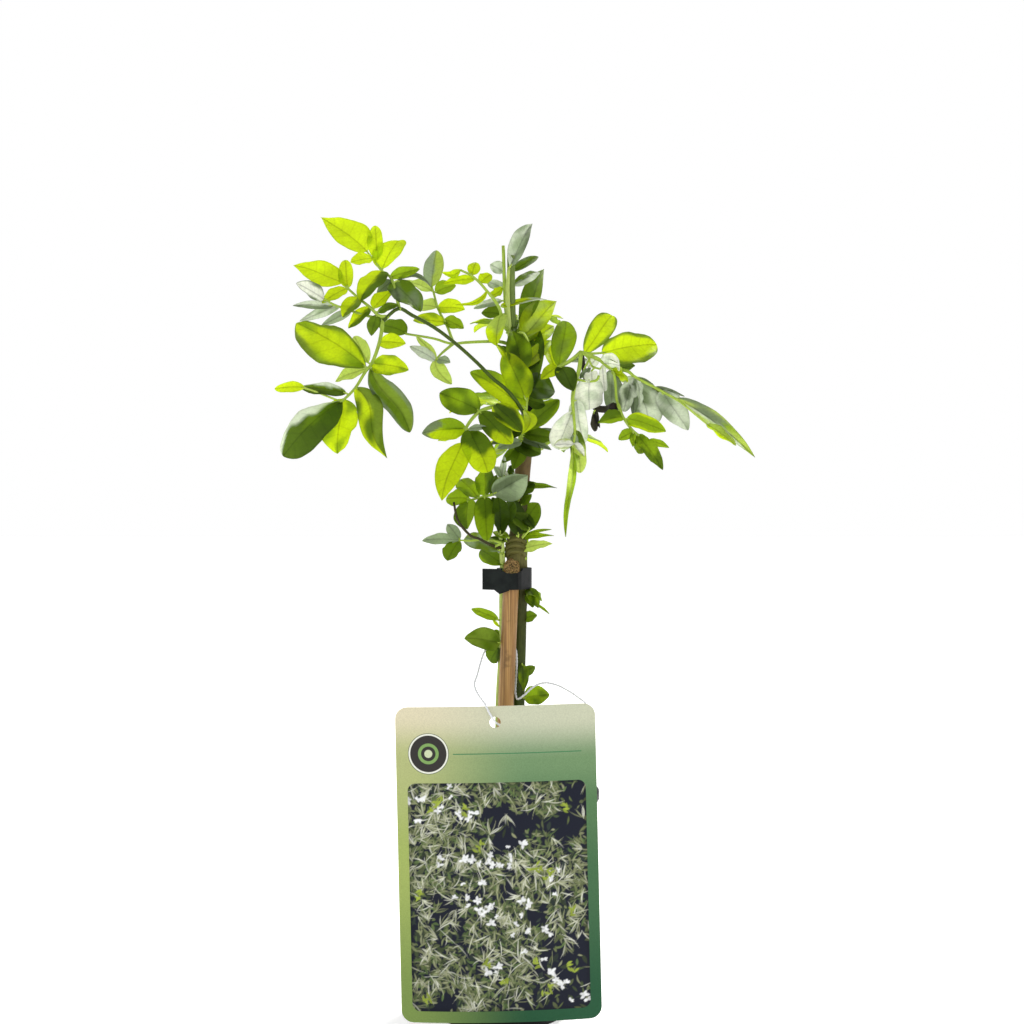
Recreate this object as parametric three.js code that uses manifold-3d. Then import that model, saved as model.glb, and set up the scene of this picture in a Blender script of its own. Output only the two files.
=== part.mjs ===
// Potted common jasmine: a climbing jasmine in a round nursery pot, tied to a bamboo cane, with a
// hang tag on a string. Millimetres, +Z up, the origin under the pot on the ground, the front at -Y.

import * as THREE from 'three';
import { mergeVertices } from 'three/addons/utils/BufferGeometryUtils.js';
import Module from 'manifold-3d';

const wasm = await Module();
wasm.setup();

// Pot: a round nursery pot, 9 cm across its rolled lip.
const POT_HEIGHT = 100;
const POT_LIP_RADIUS = 45;
const POT_BASE_RADIUS = 31.5;
const POT_WALL = 1.3;
const POT_FLOOR = 2;
const POT_LIP_HEIGHT = 4.5;
const POT_LIP_WIDTH = 2.4;
const POT_FOOT = 2.5;
const POT_SIDES = 28;
const DRAIN_RADIUS = 3.2;
const DRAIN_RING_RADIUS = 19;
const DRAIN_COUNT = 6;
const DRAIN_SIDES = 12;

// Potting soil: it ends a little below the lip and is slightly heaped round the stems.
const SOIL_TOP = 91;
const SOIL_HEAP = 3;
const SOIL_SIDES = 24;
const SOIL_ROUGHNESS = 2.2;
const SOIL_SHIFT = 3;

// Clearance between two pieces that touch, and the smallest details that a joined body may keep.
const GAP = 0.3;
const DETAIL_STEPS = [0.05, 0.04, 0.03, 0.02, 0.012, 0.008, 0.06, 0];
const WELD_STEP = 0.004;
const TOUCH_RELIEF = 0.02;

// Bamboo cane: it leans a little to the right and ends in a slanting cut.
const CANE_RADIUS = 3.7;
const CANE_X = 2.7;
const CANE_X_HEIGHT = 137.7;
const CANE_LEAN = 0.0423;
const CANE_DEPTH = -1.2;
const CANE_SWELL = 0.45;
const CANE_FOOT = 20;
const CANE_TOP = 204;
const CANE_CUT_ANGLE = 46;
const CANE_SIDES = 16;
const CANE_NODE_HEIGHT = 113;

// Leaves: the section of a blade is a thin lens that is folded a little along the midrib.
const BLADE_THICKNESS = 0.9;
const BLADE_FOLD = 16;
const BLADE_BOW = 0.05;
const BLADE_RINGS = [
  { upTo: 10.6, at: [0, 0.28, 0.67] },
  { upTo: 14, at: [0, 0.18, 0.44, 0.76] },
  { upTo: Infinity, at: [0, 0.14, 0.34, 0.58, 0.82] },
];
const BLADE_ROOT_HALF = 0.3;
const BLADE_TAPER = 1.5;
const BLADE_BELLY = 0.42;
const STALK_SIDES = 4;
const STEM_SIDES = 8;
const STEM_FROM_RADIUS = 2;
const LEAF_STALK_RADIUS = 0.8;
const LEAFLET_STALK_HALF = 0.45;
const SHORTEST_STALK = 0.25;
const STALK_TAPER = 0.45;
const LEAST_SHOWN = 0.34;

// Hang tag: a thin card that is bowed round the pot.
const TAG_WIDTH = 85;
const TAG_HEIGHT = 133.6;
const TAG_THICKNESS = 0.8;
const TAG_CORNER = 5;
const TAG_HOLE_RADIUS = 2.4;
const TAG_HOLE_DROP = 6.8;
const TAG_BOW_RADIUS = 260;
const TAG_TURN = -1.3;
const TAG_FOOT_X = 1.2;
const TAG_FOOT = 9.4;
const TAG_SLICES = 10;

const STRING_RADIUS = 0.5;
const STRING_STEPS = 62;
const STRING_SIDES = 8;

// The places of the stems and leaves are written as they are seen from the front by an eye at pot
// height, in mm on the upright plane through the pot's axis: x to the right, z up from the ground.
// A depth y then carries the place along its line of sight, so it may change without changing the view.
const EYE = new THREE.Vector3(5.45, -650, 225);

const UP = new THREE.Vector3(0, 0, 1);

function vector([x, y, z]) {
  return new THREE.Vector3(x, y, z);
}

function radians(degrees) {
  return THREE.MathUtils.degToRad(degrees);
}

function inSight(x, z, y) {
  const reach = (y - EYE.y) / -EYE.y;
  return new THREE.Vector3(EYE.x + (x - EYE.x) * reach, y, EYE.z + (z - EYE.z) * reach);
}

function inSightOnPlane(x, z, anchor, normal) {
  const ray = new THREE.Vector3(x, 0, z).sub(EYE);
  const reach = normal.dot(anchor.clone().sub(EYE)) / normal.dot(ray);
  return EYE.clone().addScaledVector(ray, reach);
}

// Closed solids from points and triangles, and from three.js geometries.

function solidFrom(positions, triangles) {
  const mesh = new wasm.Mesh({
    numProp: 3,
    vertProperties: new Float32Array(positions),
    triVerts: new Uint32Array(triangles),
  });
  return new wasm.Manifold(mesh);
}

function solidFromGeometry(geometry) {
  const bare = geometry.clone();
  bare.deleteAttribute('normal');
  bare.deleteAttribute('uv');
  const merged = mergeVertices(bare, 1e-4);
  return solidFrom(merged.attributes.position.array, merged.index.array);
}

function isClosed(triangles) {
  const open = new Set();
  const name = (a, b) => `${a},${b}`;
  for (let i = 0; i < triangles.length; i += 3) {
    const corners = triangles.slice(i, i + 3);
    for (let k = 0; k < 3; k += 1) {
      const [a, b] = [corners[k], corners[(k + 1) % 3]];
      if (open.has(name(a, b))) {
        return false;
      }
      open.add(name(a, b));
    }
  }
  return [...open].every((edge) => open.has(edge.split(',').reverse().join(',')));
}

function cornerName(values, v) {
  return [0, 1, 2].map((k) => Math.round(values[v * 3 + k] / WELD_STEP)).join(',');
}

// Two sheets of a body that touch in a point or along an edge are drawn apart there, each inward.
function drawApart(mesh) {
  const bare = new THREE.BufferGeometry();
  bare.setAttribute('position', new THREE.BufferAttribute(mesh.vertProperties, 3));
  bare.setIndex(new THREE.BufferAttribute(mesh.triVerts, 1));
  bare.computeVertexNormals();
  const normals = bare.attributes.normal.array;
  const shared = new Map();
  for (let v = 0; v < mesh.numVert; v += 1) {
    const name = cornerName(mesh.vertProperties, v);
    shared.set(name, (shared.get(name) ?? 0) + 1);
  }
  return Array.from(mesh.vertProperties, (value, i) => {
    const v = Math.floor(i / 3);
    return shared.get(cornerName(mesh.vertProperties, v)) > 1 ? value - normals[i] * TOUCH_RELIEF : value;
  });
}

// The largest connected shell, which fills a sealed hollow.
function outerShell(triangles, cornerCount) {
  const parent = Array.from({ length: cornerCount }, (_, corner) => corner);
  const find = (corner) => {
    let root = corner;
    while (parent[root] !== root) {
      parent[root] = parent[parent[root]];
      root = parent[root];
    }
    return root;
  };
  triangles.forEach(([a, b, c]) => {
    parent[find(b)] = find(a);
    parent[find(c)] = find(a);
  });
  const sizes = new Map();
  triangles.forEach(([a]) => sizes.set(find(a), (sizes.get(find(a)) ?? 0) + 1));
  const largest = [...sizes].reduce((best, entry) => (entry[1] > best[1] ? entry : best))[0];
  return triangles.filter(([a]) => find(a) === largest);
}

// A body's corners and triangles, with corners that fall together on a grid of the weld step made one.
function weld(mesh) {
  const values = drawApart(mesh);
  const corners = new Map();
  const positions = [];
  const cornerOf = Array.from({ length: mesh.numVert }, (_, v) => {
    const name = cornerName(values, v);
    if (!corners.has(name)) {
      corners.set(name, corners.size);
      positions.push(...values.slice(v * 3, v * 3 + 3));
    }
    return corners.get(name);
  });
  const triangles = [];
  for (let i = 0; i < mesh.triVerts.length; i += 3) {
    const [a, b, c] = [0, 1, 2].map((k) => cornerOf[mesh.triVerts[i + k]]);
    if (a !== b && b !== c && c !== a) {
      triangles.push([a, b, c]);
    }
  }
  return { positions, triangles: outerShell(triangles, corners.size).flat() };
}

// The geometry of a body, with its finest details dropped as far as it stays closed.
function geometryFrom(solid) {
  const tries = DETAIL_STEPS.map((step) => weld((step > 0 ? solid.simplify(step) : solid).getMesh()));
  const best = tries.find(({ triangles }) => isClosed(triangles));
  if (best === undefined) {
    throw new Error('a body is not closed');
  }
  const geometry = new THREE.BufferGeometry();
  geometry.setAttribute('position', new THREE.Float32BufferAttribute(best.positions, 3));
  geometry.setIndex(best.triangles);
  geometry.computeVertexNormals();
  return geometry;
}

function largestPiece(solid) {
  const pieces = solid.decompose();
  return pieces.reduce((best, piece) => (piece.volume() > best.volume() ? piece : best));
}

function join(solids) {
  return wasm.Manifold.union(solids);
}

// A closed tube through points, with a radius for each point and a flat end at each end.
function tube(points, radii, sides) {
  const positions = [];
  const triangles = [];
  let across = null;
  points.forEach((point, i) => {
    const before = points[Math.max(i - 1, 0)];
    const after = points[Math.min(i + 1, points.length - 1)];
    const along = after.clone().sub(before).normalize();
    if (across === null) {
      const aside = Math.abs(along.z) < 0.9 ? UP : new THREE.Vector3(1, 0, 0);
      across = aside.clone().cross(along);
    }
    across.addScaledVector(along, -across.dot(along)).normalize();
    const other = along.clone().cross(across);
    for (let k = 0; k < sides; k += 1) {
      const angle = (2 * Math.PI * k) / sides;
      const corner = point.clone();
      corner.addScaledVector(across, radii[i] * Math.cos(angle));
      corner.addScaledVector(other, radii[i] * Math.sin(angle));
      positions.push(corner.x, corner.y, corner.z);
    }
  });
  for (let i = 0; i + 1 < points.length; i += 1) {
    for (let k = 0; k < sides; k += 1) {
      const a = i * sides + k;
      const b = i * sides + ((k + 1) % sides);
      triangles.push(a, b, b + sides, a, b + sides, a + sides);
    }
  }
  const last = (points.length - 1) * sides;
  for (let k = 1; k + 1 < sides; k += 1) {
    triangles.push(0, k + 1, k);
    triangles.push(last, last + k, last + k + 1);
  }
  return solidFrom(positions, triangles);
}

// The half width of a blade at t from its root to its tip, as a share of its widest half width.
function bladeOutline(t, belly, taper) {
  const rise = (t / belly) ** (taper * belly);
  const fall = ((1 - t) / (1 - belly)) ** (taper * (1 - belly));
  return rise * fall;
}

// One leaflet blade, with its own short stalk where its base is off its carrier. grow makes it
// larger all round, for the room that it needs.
function blade(leaflet, grow = 0) {
  const { root, base, tip, width, face, fold, bow, arc, belly, taper } = leaflet;
  const along = tip.clone().sub(base);
  const length = along.length();
  along.normalize();
  const up = face.clone().addScaledVector(along, -face.dot(along)).normalize();
  const aside = along.clone().cross(up);
  const end = tip.clone().addScaledVector(along, grow);
  const positions = [];
  const triangles = [];
  const addRing = (middle, half, thick) => {
    const lift = half * Math.sin(radians(fold));
    const reach = half * Math.cos(radians(fold));
    const left = middle.clone().addScaledVector(aside, -reach).addScaledVector(up, lift);
    const right = middle.clone().addScaledVector(aside, reach).addScaledVector(up, lift);
    const top = middle.clone().addScaledVector(up, thick);
    const bottom = middle.clone().addScaledVector(up, -thick);
    [left, top, right, bottom].forEach((p) => positions.push(p.x, p.y, p.z));
  };
  if (root) {
    addRing(root, LEAFLET_STALK_HALF + grow, LEAFLET_STALK_HALF + grow);
  }
  const rings = BLADE_RINGS.find(({ upTo }) => width <= upTo).at;
  rings.forEach((t) => {
    const hump = 4 * t * (1 - t);
    const middle = base.clone().lerp(end, t);
    middle.addScaledVector(up, bow * length * hump);
    middle.addScaledVector(aside, arc * hump);
    if (t === 0) {
      addRing(middle, BLADE_ROOT_HALF + grow, BLADE_ROOT_HALF + grow);
    } else {
      addRing(middle, (width / 2) * bladeOutline(t, belly, taper) + grow, BLADE_THICKNESS / 2 + grow);
    }
  });
  positions.push(end.x, end.y, end.z);
  const tipIndex = positions.length / 3 - 1;
  const ringCount = tipIndex / 4;
  for (let i = 0; i + 1 < ringCount; i += 1) {
    const [l, t, r, b] = [0, 1, 2, 3].map((k) => i * 4 + k);
    const [nl, nt, nr, nb] = [0, 1, 2, 3].map((k) => (i + 1) * 4 + k);
    triangles.push(l, t, nt, l, nt, nl);
    triangles.push(l, nb, b, l, nl, nb);
    triangles.push(r, nt, t, r, nr, nt);
    triangles.push(r, b, nb, r, nb, nr);
  }
  triangles.push(0, 2, 1, 0, 3, 2);
  const [l, t, r, b] = [0, 1, 2, 3].map((k) => (ringCount - 1) * 4 + k);
  triangles.push(l, t, tipIndex, t, r, tipIndex, r, b, tipIndex, b, l, tipIndex);
  return solidFrom(positions, triangles);
}

// The point of the stems that is nearest to a point.
function nearestOnStems(point, stems) {
  let nearest = null;
  stems.forEach(({ points }) => {
    for (let i = 0; i + 1 < points.length; i += 1) {
      const piece = new THREE.Line3(points[i], points[i + 1]);
      const candidate = piece.closestPointToPoint(point, true, new THREE.Vector3());
      if (nearest === null || candidate.distanceTo(point) < nearest.distanceTo(point)) {
        nearest = candidate;
      }
    }
  });
  return nearest;
}

function rootFor(base, carriers) {
  const root = nearestOnStems(base, carriers);
  return root.distanceTo(base) < SHORTEST_STALK ? null : root;
}

// A leaf on its plane. depth is the y of the first point of its stalk, and face is where its upper
// side looks. A leaflet is [x, z of its root, x, z of its tip, width as seen, details]. Of the
// details, deep moves the tip back, roll turns the blade on its own axis, arc bends it sideways,
// bow arches it, belly is the share of its length at its widest place, taper is how pointed its ends
// are, and y gives its root a depth of its own. What does not touch its carrier gets a short stalk
// from the nearest point of it: the leaf's own stalk, or the stems if it has none.
function placeLeaf(leaf, stems) {
  const normal = vector(leaf.face).normalize();
  const stalk = leaf.stalk ?? [];
  const first = stalk[0] ?? leaf.leaflets[0];
  const anchor = inSight(first[0], first[1], leaf.depth);
  const place = (x, z) => inSightOnPlane(x, z, anchor, normal);
  const thick = leaf.thick ?? LEAF_STALK_RADIUS;
  const stalks = [];
  if (stalk.length > 1) {
    const points = stalk.map(([x, z]) => place(x, z));
    const radii = points.map((point, i) => thick * (1 - (STALK_TAPER * i) / (points.length - 1)));
    const root = rootFor(points[0], stems);
    stalks.push({ points: root ? [root, ...points] : points, radii: root ? [thick, ...radii] : radii });
  }
  const carriers = stalks.length > 0 ? stalks.slice(0, 1) : stems;
  const blades = leaf.leaflets.map(([x0, z0, x1, z1, width, more = {}]) => {
    const face = more.face ? vector(more.face).normalize() : normal;
    const base = more.y === undefined ? place(x0, z0) : inSight(x0, z0, more.y);
    const flatTip = inSightOnPlane(x1, z1, base, face);
    const tip = inSight(x1, z1, flatTip.y + (more.deep ?? 0));
    const rolled = face.clone();
    const along = tip.clone().sub(base).normalize();
    rolled.addScaledVector(along, -rolled.dot(along)).normalize();
    rolled.applyAxisAngle(along, radians(more.roll ?? 0));
    return {
      root: rootFor(base, carriers),
      base,
      tip,
      face: rolled,
      width: width / shownShare(base, tip, rolled),
      fold: more.fold ?? BLADE_FOLD,
      bow: more.bow ?? BLADE_BOW,
      arc: more.arc ?? 0,
      belly: more.belly ?? BLADE_BELLY,
      taper: more.taper ?? BLADE_TAPER,
    };
  });
  return { stalks, blades };
}

// How much of a blade's width the front view shows, never taken as less than a third.
function shownShare(base, tip, face) {
  const along = tip.clone().sub(base).normalize();
  const look = base.clone().add(tip).multiplyScalar(0.5).sub(EYE).normalize();
  const acrossView = along.clone().cross(look).normalize();
  const aside = along.clone().cross(face).normalize();
  return Math.max(Math.abs(aside.dot(acrossView)), LEAST_SHOWN);
}

// A stem through places [x, z, depth, radius].
function placeStem(places) {
  return {
    points: places.map(([x, z, y]) => inSight(x, z, y)),
    radii: places.map((place) => place[3]),
  };
}

// A leafy shoot is its stems and leaves in one body, and the same grown by the clearance.
function growShoot({ stems, leaves }) {
  const placedStems = stems.map(placeStem);
  const placed = leaves.map((leaf) => placeLeaf(leaf, placedStems));
  const tubes = [...placedStems, ...placed.flatMap((leaf) => leaf.stalks)];
  const blades = placed.flatMap((leaf) => leaf.blades);
  const build = (grow) => {
    const solids = tubes.map(({ points, radii }) => {
      const sides = Math.max(...radii) > STEM_FROM_RADIUS ? STEM_SIDES : STALK_SIDES;
      return tube(points, radii.map((radius) => radius + grow), sides);
    });
    return join([...solids, ...blades.map((leaflet) => blade(leaflet, grow))]);
  };
  return { body: build(0), room: build(GAP) };
}

// Main stem: woody behind the cane, ringed above the lower tie, then a ribbed green shoot.
const MAIN_STEM = [
  [7.2, 78, 7.5, 3.5],
  [7.4, 120, 7.5, 3.5],
  [7.8, 145, 7.5, 3.5],
  [8.3, 165, 7.5, 3.5],
  [8.6, 182, 7.4, 3.6],
  [9.2, 190, 7.2, 4.1],
  [8.6, 196, 7, 4],
  [8, 201, 6.4, 4.4],
  [7.7, 204.5, 6, 4.7],
  [7.8, 206, 6, 4.3],
  [7.6, 208.5, 6, 4.6],
  [7.8, 210, 6, 4.2],
  [7.8, 212.5, 6, 4.4],
  [8.2, 215, 6, 3.9],
  [8.8, 226, 6, 3.5],
  [9.8, 238, 6, 3.5],
  [10.6, 247, 6, 3.5],
  [12.2, 258, 6, 3.1],
  [13.9, 267, 6, 2.7],
  [14.3, 276, 6, 2.5],
  [12.4, 286, 7, 2.3],
  [8.6, 297, 7, 2.1],
  [5.8, 308, 7, 1.9],
  [5.1, 325, 7, 1.8],
  [5, 341.5, 7, 1.75],
];

const mainShoot = {
  stems: [
    MAIN_STEM,
    [[6, 306, 7, 1.1], [3.2, 314, 6, 0.9], [2.2, 325, 6, 0.8], [1.5, 346, 7, 0.75]],
    [[4.6, 304, 5, 1.1], [3.6, 316, 4.4, 1.15], [3.4, 326, 5, 1], [4, 336, 5.4, 0.7]],
    [[3, 306.5, 6, 0.5], [5, 305.5, 3, 0.5], [10, 306.5, 0, 0.5], [12.5, 303, -2, 0.5],
      [12.5, 297, -3, 0.5], [8, 289.5, -2, 0.45]],
    [[3.2, 209.8, 4.2, 1], [4.2, 211.9, 2.9, 1.3], [7, 212.9, 2.2, 1.45], [9.8, 212.2, 2.9, 1.3],
      [11.3, 210, 4.2, 1]],
    [[2.8, 207.2, 4, 1], [3.9, 209.2, 2.7, 1.3], [6.9, 210.2, 2, 1.45], [9.8, 209.5, 2.7, 1.3],
      [11.4, 207.4, 4, 1]],
    [[2.8, 204.9, 4.2, 1], [3.9, 206.6, 2.7, 1.3], [6.8, 207.4, 2, 1.45], [9.6, 206.9, 2.7, 1.3],
      [11.2, 204.9, 4.2, 1]],
  ],
  leaves: [
    {
      depth: 6,
      face: [0.35, -0.75, 0.55],
      leaflets: [
        [5, 337.5, 15, 356.3, 7.6, { y: 6, roll: 15, belly: 0.38, taper: 1.9 }],
        [6, 334.5, 17.5, 341, 4.4, { y: 7 }],
        [6, 328, 18, 334, 5.2, { y: 7, deep: 6 }],
        [9.4, 309.5, 20.3, 336, 9.6, { y: 5.6, taper: 1.7 }],
        [0.5, 318.5, 21.5, 322, 2.6, { y: 3, belly: 0.25 }],
        [9.6, 303.6, 25.8, 320.8, 12.4, { y: 2, belly: 0.5 }],
      ],
    },
    {
      depth: 4,
      face: [-0.3, -0.8, 0.5],
      leaflets: [
        [1, 327, -5, 323, 4, { y: 6, arc: -1.6 }],
        [1, 321, -12, 317.5, 3.6, { y: 5 }],
        [1, 315, -8.5, 315.5, 6, { y: 3 }],
        [0, 314.5, -1.5, 300.5, 9, { y: 0, roll: 20 }],
      ],
    },
    {
      depth: 3,
      face: [0.2, -0.8, 0.5],
      leaflets: [
        [12.5, 190.5, 17.5, 181.5, 5.6, { y: 6, deep: -2, bow: 0.12 }],
        [13, 189, 19, 184.5, 3.6, { y: 6, roll: -40 }],
        [16, 183.5, 22.6, 178.5, 1.3, { y: 3, deep: -2 }],
        [10.6, 176.5, 16.9, 178.2, 5.4, { y: 7, deep: -3 }],
        [9.2, 151, 16, 154.8, 5, { y: 5 }],
        [10, 156, 10.6, 143.5, 5, { y: 4.5, deep: -2 }],
        [11, 140.5, 22.5, 142, 9, { y: 4, deep: -3 }],
      ],
    },
    {
      depth: 2,
      face: [0.1, -0.75, 0.6],
      leaflets: [
        [11.5, 236.5, 26, 236, 3.6, { y: 5, belly: 0.15, deep: -4 }],
        [11, 214.5, 23.5, 217.3, 1.6, { y: 4 }],
        [10.5, 213.5, 24.6, 214.3, 3.2, { y: 4, deep: -5, belly: 0.2 }],
        [10.5, 208.3, 24, 210.7, 5, { y: 4, deep: -7, belly: 0.3 }],
        [8, 215, 17.4, 229.2, 11.5, { y: 1, belly: 0.5, deep: -7 }],
        [8.4, 214.6, 4.4, 231, 9.6, { y: 0.6, belly: 0.5, taper: 1.1, deep: -13 }],
      ],
    },
  ],
};

// Second stem: thin and pale, along the left side of the cane.
const secondShoot = {
  stems: [
    [[-1.6, 82, 3.2, 1.4], [-0.9, 120, 3.4, 1.35], [-0.7, 140, 3.2, 1.3], [0.8, 165, 3.5, 1.3],
      [0.9, 185, 3.3, 1.3], [1.2, 196, 3.3, 1.3], [1, 205, 2.6, 1.25], [0.4, 216, 1.6, 1.2],
      [-0.6, 228, 0, 1.1], [0, 240, -1.5, 1], [2, 249, -2, 0.8]],
    [[0.8, 208.5, 2.2, 0.8], [-4, 210, -3, 0.7], [-10, 213, -9, 0.6], [-13, 214, -12, 0.6],
      [-17, 218, -14, 0.6], [-19.5, 222, -15, 0.55], [-21, 229.5, -15, 0.5]],
  ],
  leaves: [
    {
      depth: 3,
      face: [-0.3, -0.75, 0.6],
      leaflets: [
        [-0.8, 176, -13, 181, 4.4, { y: 2.6 }],
        [0, 165.5, -16.2, 167.7, 10.4, { y: -2, deep: -9, belly: 0.4 }],
        [0, 164, -4.6, 157, 7.5, { y: 3, deep: 6, belly: 0.5 }],
      ],
    },
    {
      depth: 1,
      face: [-0.25, -0.7, 0.65],
      leaflets: [
        [-0.4, 207.6, -15.8, 213.4, 8, { y: 1, belly: 0.55, taper: 1 }],
        [1.4, 201.2, -9, 207.6, 9, { y: 1.5, belly: 0.45, deep: 5 }],
      ],
    },
    {
      depth: -4,
      face: [-0.2, -0.7, 0.65],
      thick: 0.7,
      stalk: [[0.4, 211], [-8, 212.5], [-13, 212], [-18.5, 212.2]],
      leaflets: [
        [-18.5, 212.2, -35.5, 212, 5.2],
        [-18.3, 212.6, -24, 219.6, 5.6],
        [-18.3, 212, -24, 203, 7.6, { belly: 0.55 }],
      ],
    },
    {
      depth: -1,
      face: [-0.3, -0.75, 0.55],
      thick: 0.8,
      stalk: [[-0.6, 233.5], [-3, 233], [-9, 231.5], [-15, 230]],
      leaflets: [
        [-10, 231.2, -18, 240, 9, { roll: 25, belly: 0.5 }],
        [-6.5, 232.4, -6, 245.5, 8.4, { roll: -10, belly: 0.45, taper: 1.2 }],
        [-14, 231.2, -24.6, 231, 7.8, { belly: 0.5 }],
        [-14.6, 230, -15, 217.4, 10, { roll: 15, taper: 1.2 }],
        [-7, 231.6, -5.8, 212, 9.6, { roll: -15, taper: 0.9 }],
      ],
    },
    {
      depth: -5,
      face: [0.3, 0.8, 0.5],
      leaflets: [
        [-3, 233.2, 12.7, 241.8, 12, { y: -4, deep: -5, belly: 0.18, taper: 1.2 }],
        [0.2, 215, -0.6, 232, 7.6, { y: 0.8, deep: -13, belly: 0.5, taper: 1.1 }],
      ],
    },
  ],
};

// Left shoot: it arches out to the left and carries three large leaves and a small pale one.
const leftShoot = {
  stems: [
    [[13.6, 264, 6, 1], [12.6, 267.4, -4, 0.95], [10.2, 271, -13, 0.9], [7, 276, -17, 0.85],
      [2, 281.5, -18, 0.85], [-3, 285.5, -18, 0.8], [-10, 292.5, -17, 0.8], [-20, 301.5, -16, 0.8],
      [-30, 309, -15.5, 0.8], [-40, 314.5, -15.5, 0.8], [-46, 317.5, -16, 0.8],
      [-54, 311, -16, 0.75]],
  ],
  leaves: [
    {
      depth: -16,
      face: [-0.2, -0.75, 0.6],
      stalk: [[-45.5, 317.3], [-47.5, 325], [-50, 332], [-53.5, 334.5], [-57, 339], [-60.5, 343.5]],
      leaflets: [
        [-60.5, 343.5, -81.5, 359, 12.5],
        [-55, 340, -57, 355, 7, { roll: 25 }],
        [-53.5, 335.5, -45, 347, 8.5, { roll: -20 }],
        [-58, 340, -68, 338.5, 5.5, { deep: -4 }],
        [-53.5, 334.5, -63.5, 321, 9.5, { deep: -6 }],
        [-50, 331.5, -36.5, 335.5, 5.2, { roll: 25 }],
        [-49, 329.5, -36, 316, 11, { deep: 8, roll: -20 }],
      ],
    },
    {
      depth: -16,
      face: [-0.1, -0.85, 0.5],
      stalk: [[-50.5, 313.8], [-54.5, 314], [-59, 318], [-64, 322], [-69.5, 327], [-71.5, 329.2]],
      leaflets: [
        [-71.5, 329.2, -94, 337, 10],
        [-69, 327, -70.5, 339.5, 7, { roll: 20 }],
        [-69.5, 326.5, -81, 320, 5.5, { deep: -4 }],
        [-64, 322.5, -71.5, 313.5, 7, { deep: -4 }],
        [-57.5, 317.5, -49, 325.5, 6, { roll: -15 }],
        [-59, 318, -69, 308.5, 5.5, { deep: 3 }],
        [-56, 314.5, -58.5, 305, 6, { deep: 4 }],
      ],
    },
    {
      depth: -16,
      face: [-0.15, -0.8, 0.52],
      thick: 0.9,
      stalk: [[-53.5, 311.5], [-54.5, 303], [-58.5, 292], [-61, 289], [-66, 281], [-71, 276], [-72, 275]],
      leaflets: [
        [-72, 275, -98.6, 250.4, 15.4, { bow: 0.09, belly: 0.56, taper: 1.25 }],
        [-71.4, 276.4, -74, 251.6, 17, { deep: 9, taper: 1.3, belly: 0.42 }],
        [-61, 291, -92.6, 311, 18, { bow: 0.08, taper: 1.5, belly: 0.54 }],
        [-60, 293, -66.5, 305, 7, { deep: 6 }],
        [-55, 302, -43.5, 302, 6, { roll: -20 }],
        [-58, 292.5, -41.5, 291, 9, { roll: -15 }],
        [-59, 290.5, -41, 261.3, 11, { deep: 6, belly: 0.55 }],
        [-65.4, 281.6, -51.3, 250, 11.4, { roll: -10, taper: 1.7, belly: 0.4 }],
        [-61, 290, -75, 284.5, 5.4, { deep: 7 }],
        [-70, 279, -91, 281.6, 5.6, { deep: 3, taper: 1.3 }],
      ],
    },
    {
      depth: -13,
      face: [0.1, 0.85, 0.45],
      thick: 0.7,
      stalk: [[-52, 312.5], [-60, 314], [-68, 316.5], [-76, 319.5], [-80, 322]],
      leaflets: [
        [-80, 322, -92.5, 329, 7, { deep: 8 }],
        [-76, 318.8, -94, 319, 4, { deep: 5 }],
        [-73, 318.5, -91, 312, 5, { deep: 7 }],
        [-68, 316, -81, 310, 4.4, { deep: 6 }],
      ],
    },
  ],
};

// Thin upper left shoot, with a leaf that stands up, a small forked leaf and an end leaflet.
const upperLeftShoot = {
  stems: [
    [[8, 299.5, 7, 0.9], [1, 302.2, 2, 0.8], [-5, 302.5, -2, 0.7], [-16, 302, -4, 0.65],
      [-22, 301.5, -5, 0.6], [-30, 303.8, -5, 0.55], [-43, 306, -4, 0.5]],
  ],
  leaves: [
    {
      depth: -5,
      face: [-0.1, -0.8, 0.55],
      stalk: [[-21, 301.6], [-22, 304], [-24, 309.5], [-28, 317], [-30, 324], [-31, 327.5]],
      leaflets: [
        [-31, 327.5, -29, 344, 9.5],
        [-29.5, 325, -20, 328, 6.5, { roll: -20 }],
        [-28.5, 318, -16, 317, 7, { roll: -25 }],
        [-25.5, 312.5, -16.5, 308.5, 6],
        [-31, 325.5, -44, 330, 5, { roll: 20 }],
        [-28.6, 318, -38, 319, 6, { deep: 5 }],
        [-25, 311.2, -39.5, 312, 6, { deep: -5 }],
      ],
    },
    {
      depth: -5,
      face: [0.1, -0.85, 0.5],
      thick: 0.7,
      stalk: [[-21, 301.6], [-26, 297.5], [-29.5, 294]],
      leaflets: [
        [-29.5, 293.8, -41, 300.5, 5, { deep: -4 }],
        [-29, 294.6, -38, 305, 3.6, { deep: 5 }],
        [-29.5, 294, -22, 283, 7, { arc: 2 }],
      ],
    },
    {
      depth: -4,
      face: [-0.3, -0.7, 0.6],
      leaflets: [
        [-42.5, 306.2, -55, 310.5, 8, { y: -4 }],
      ],
    },
  ],
};

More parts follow.
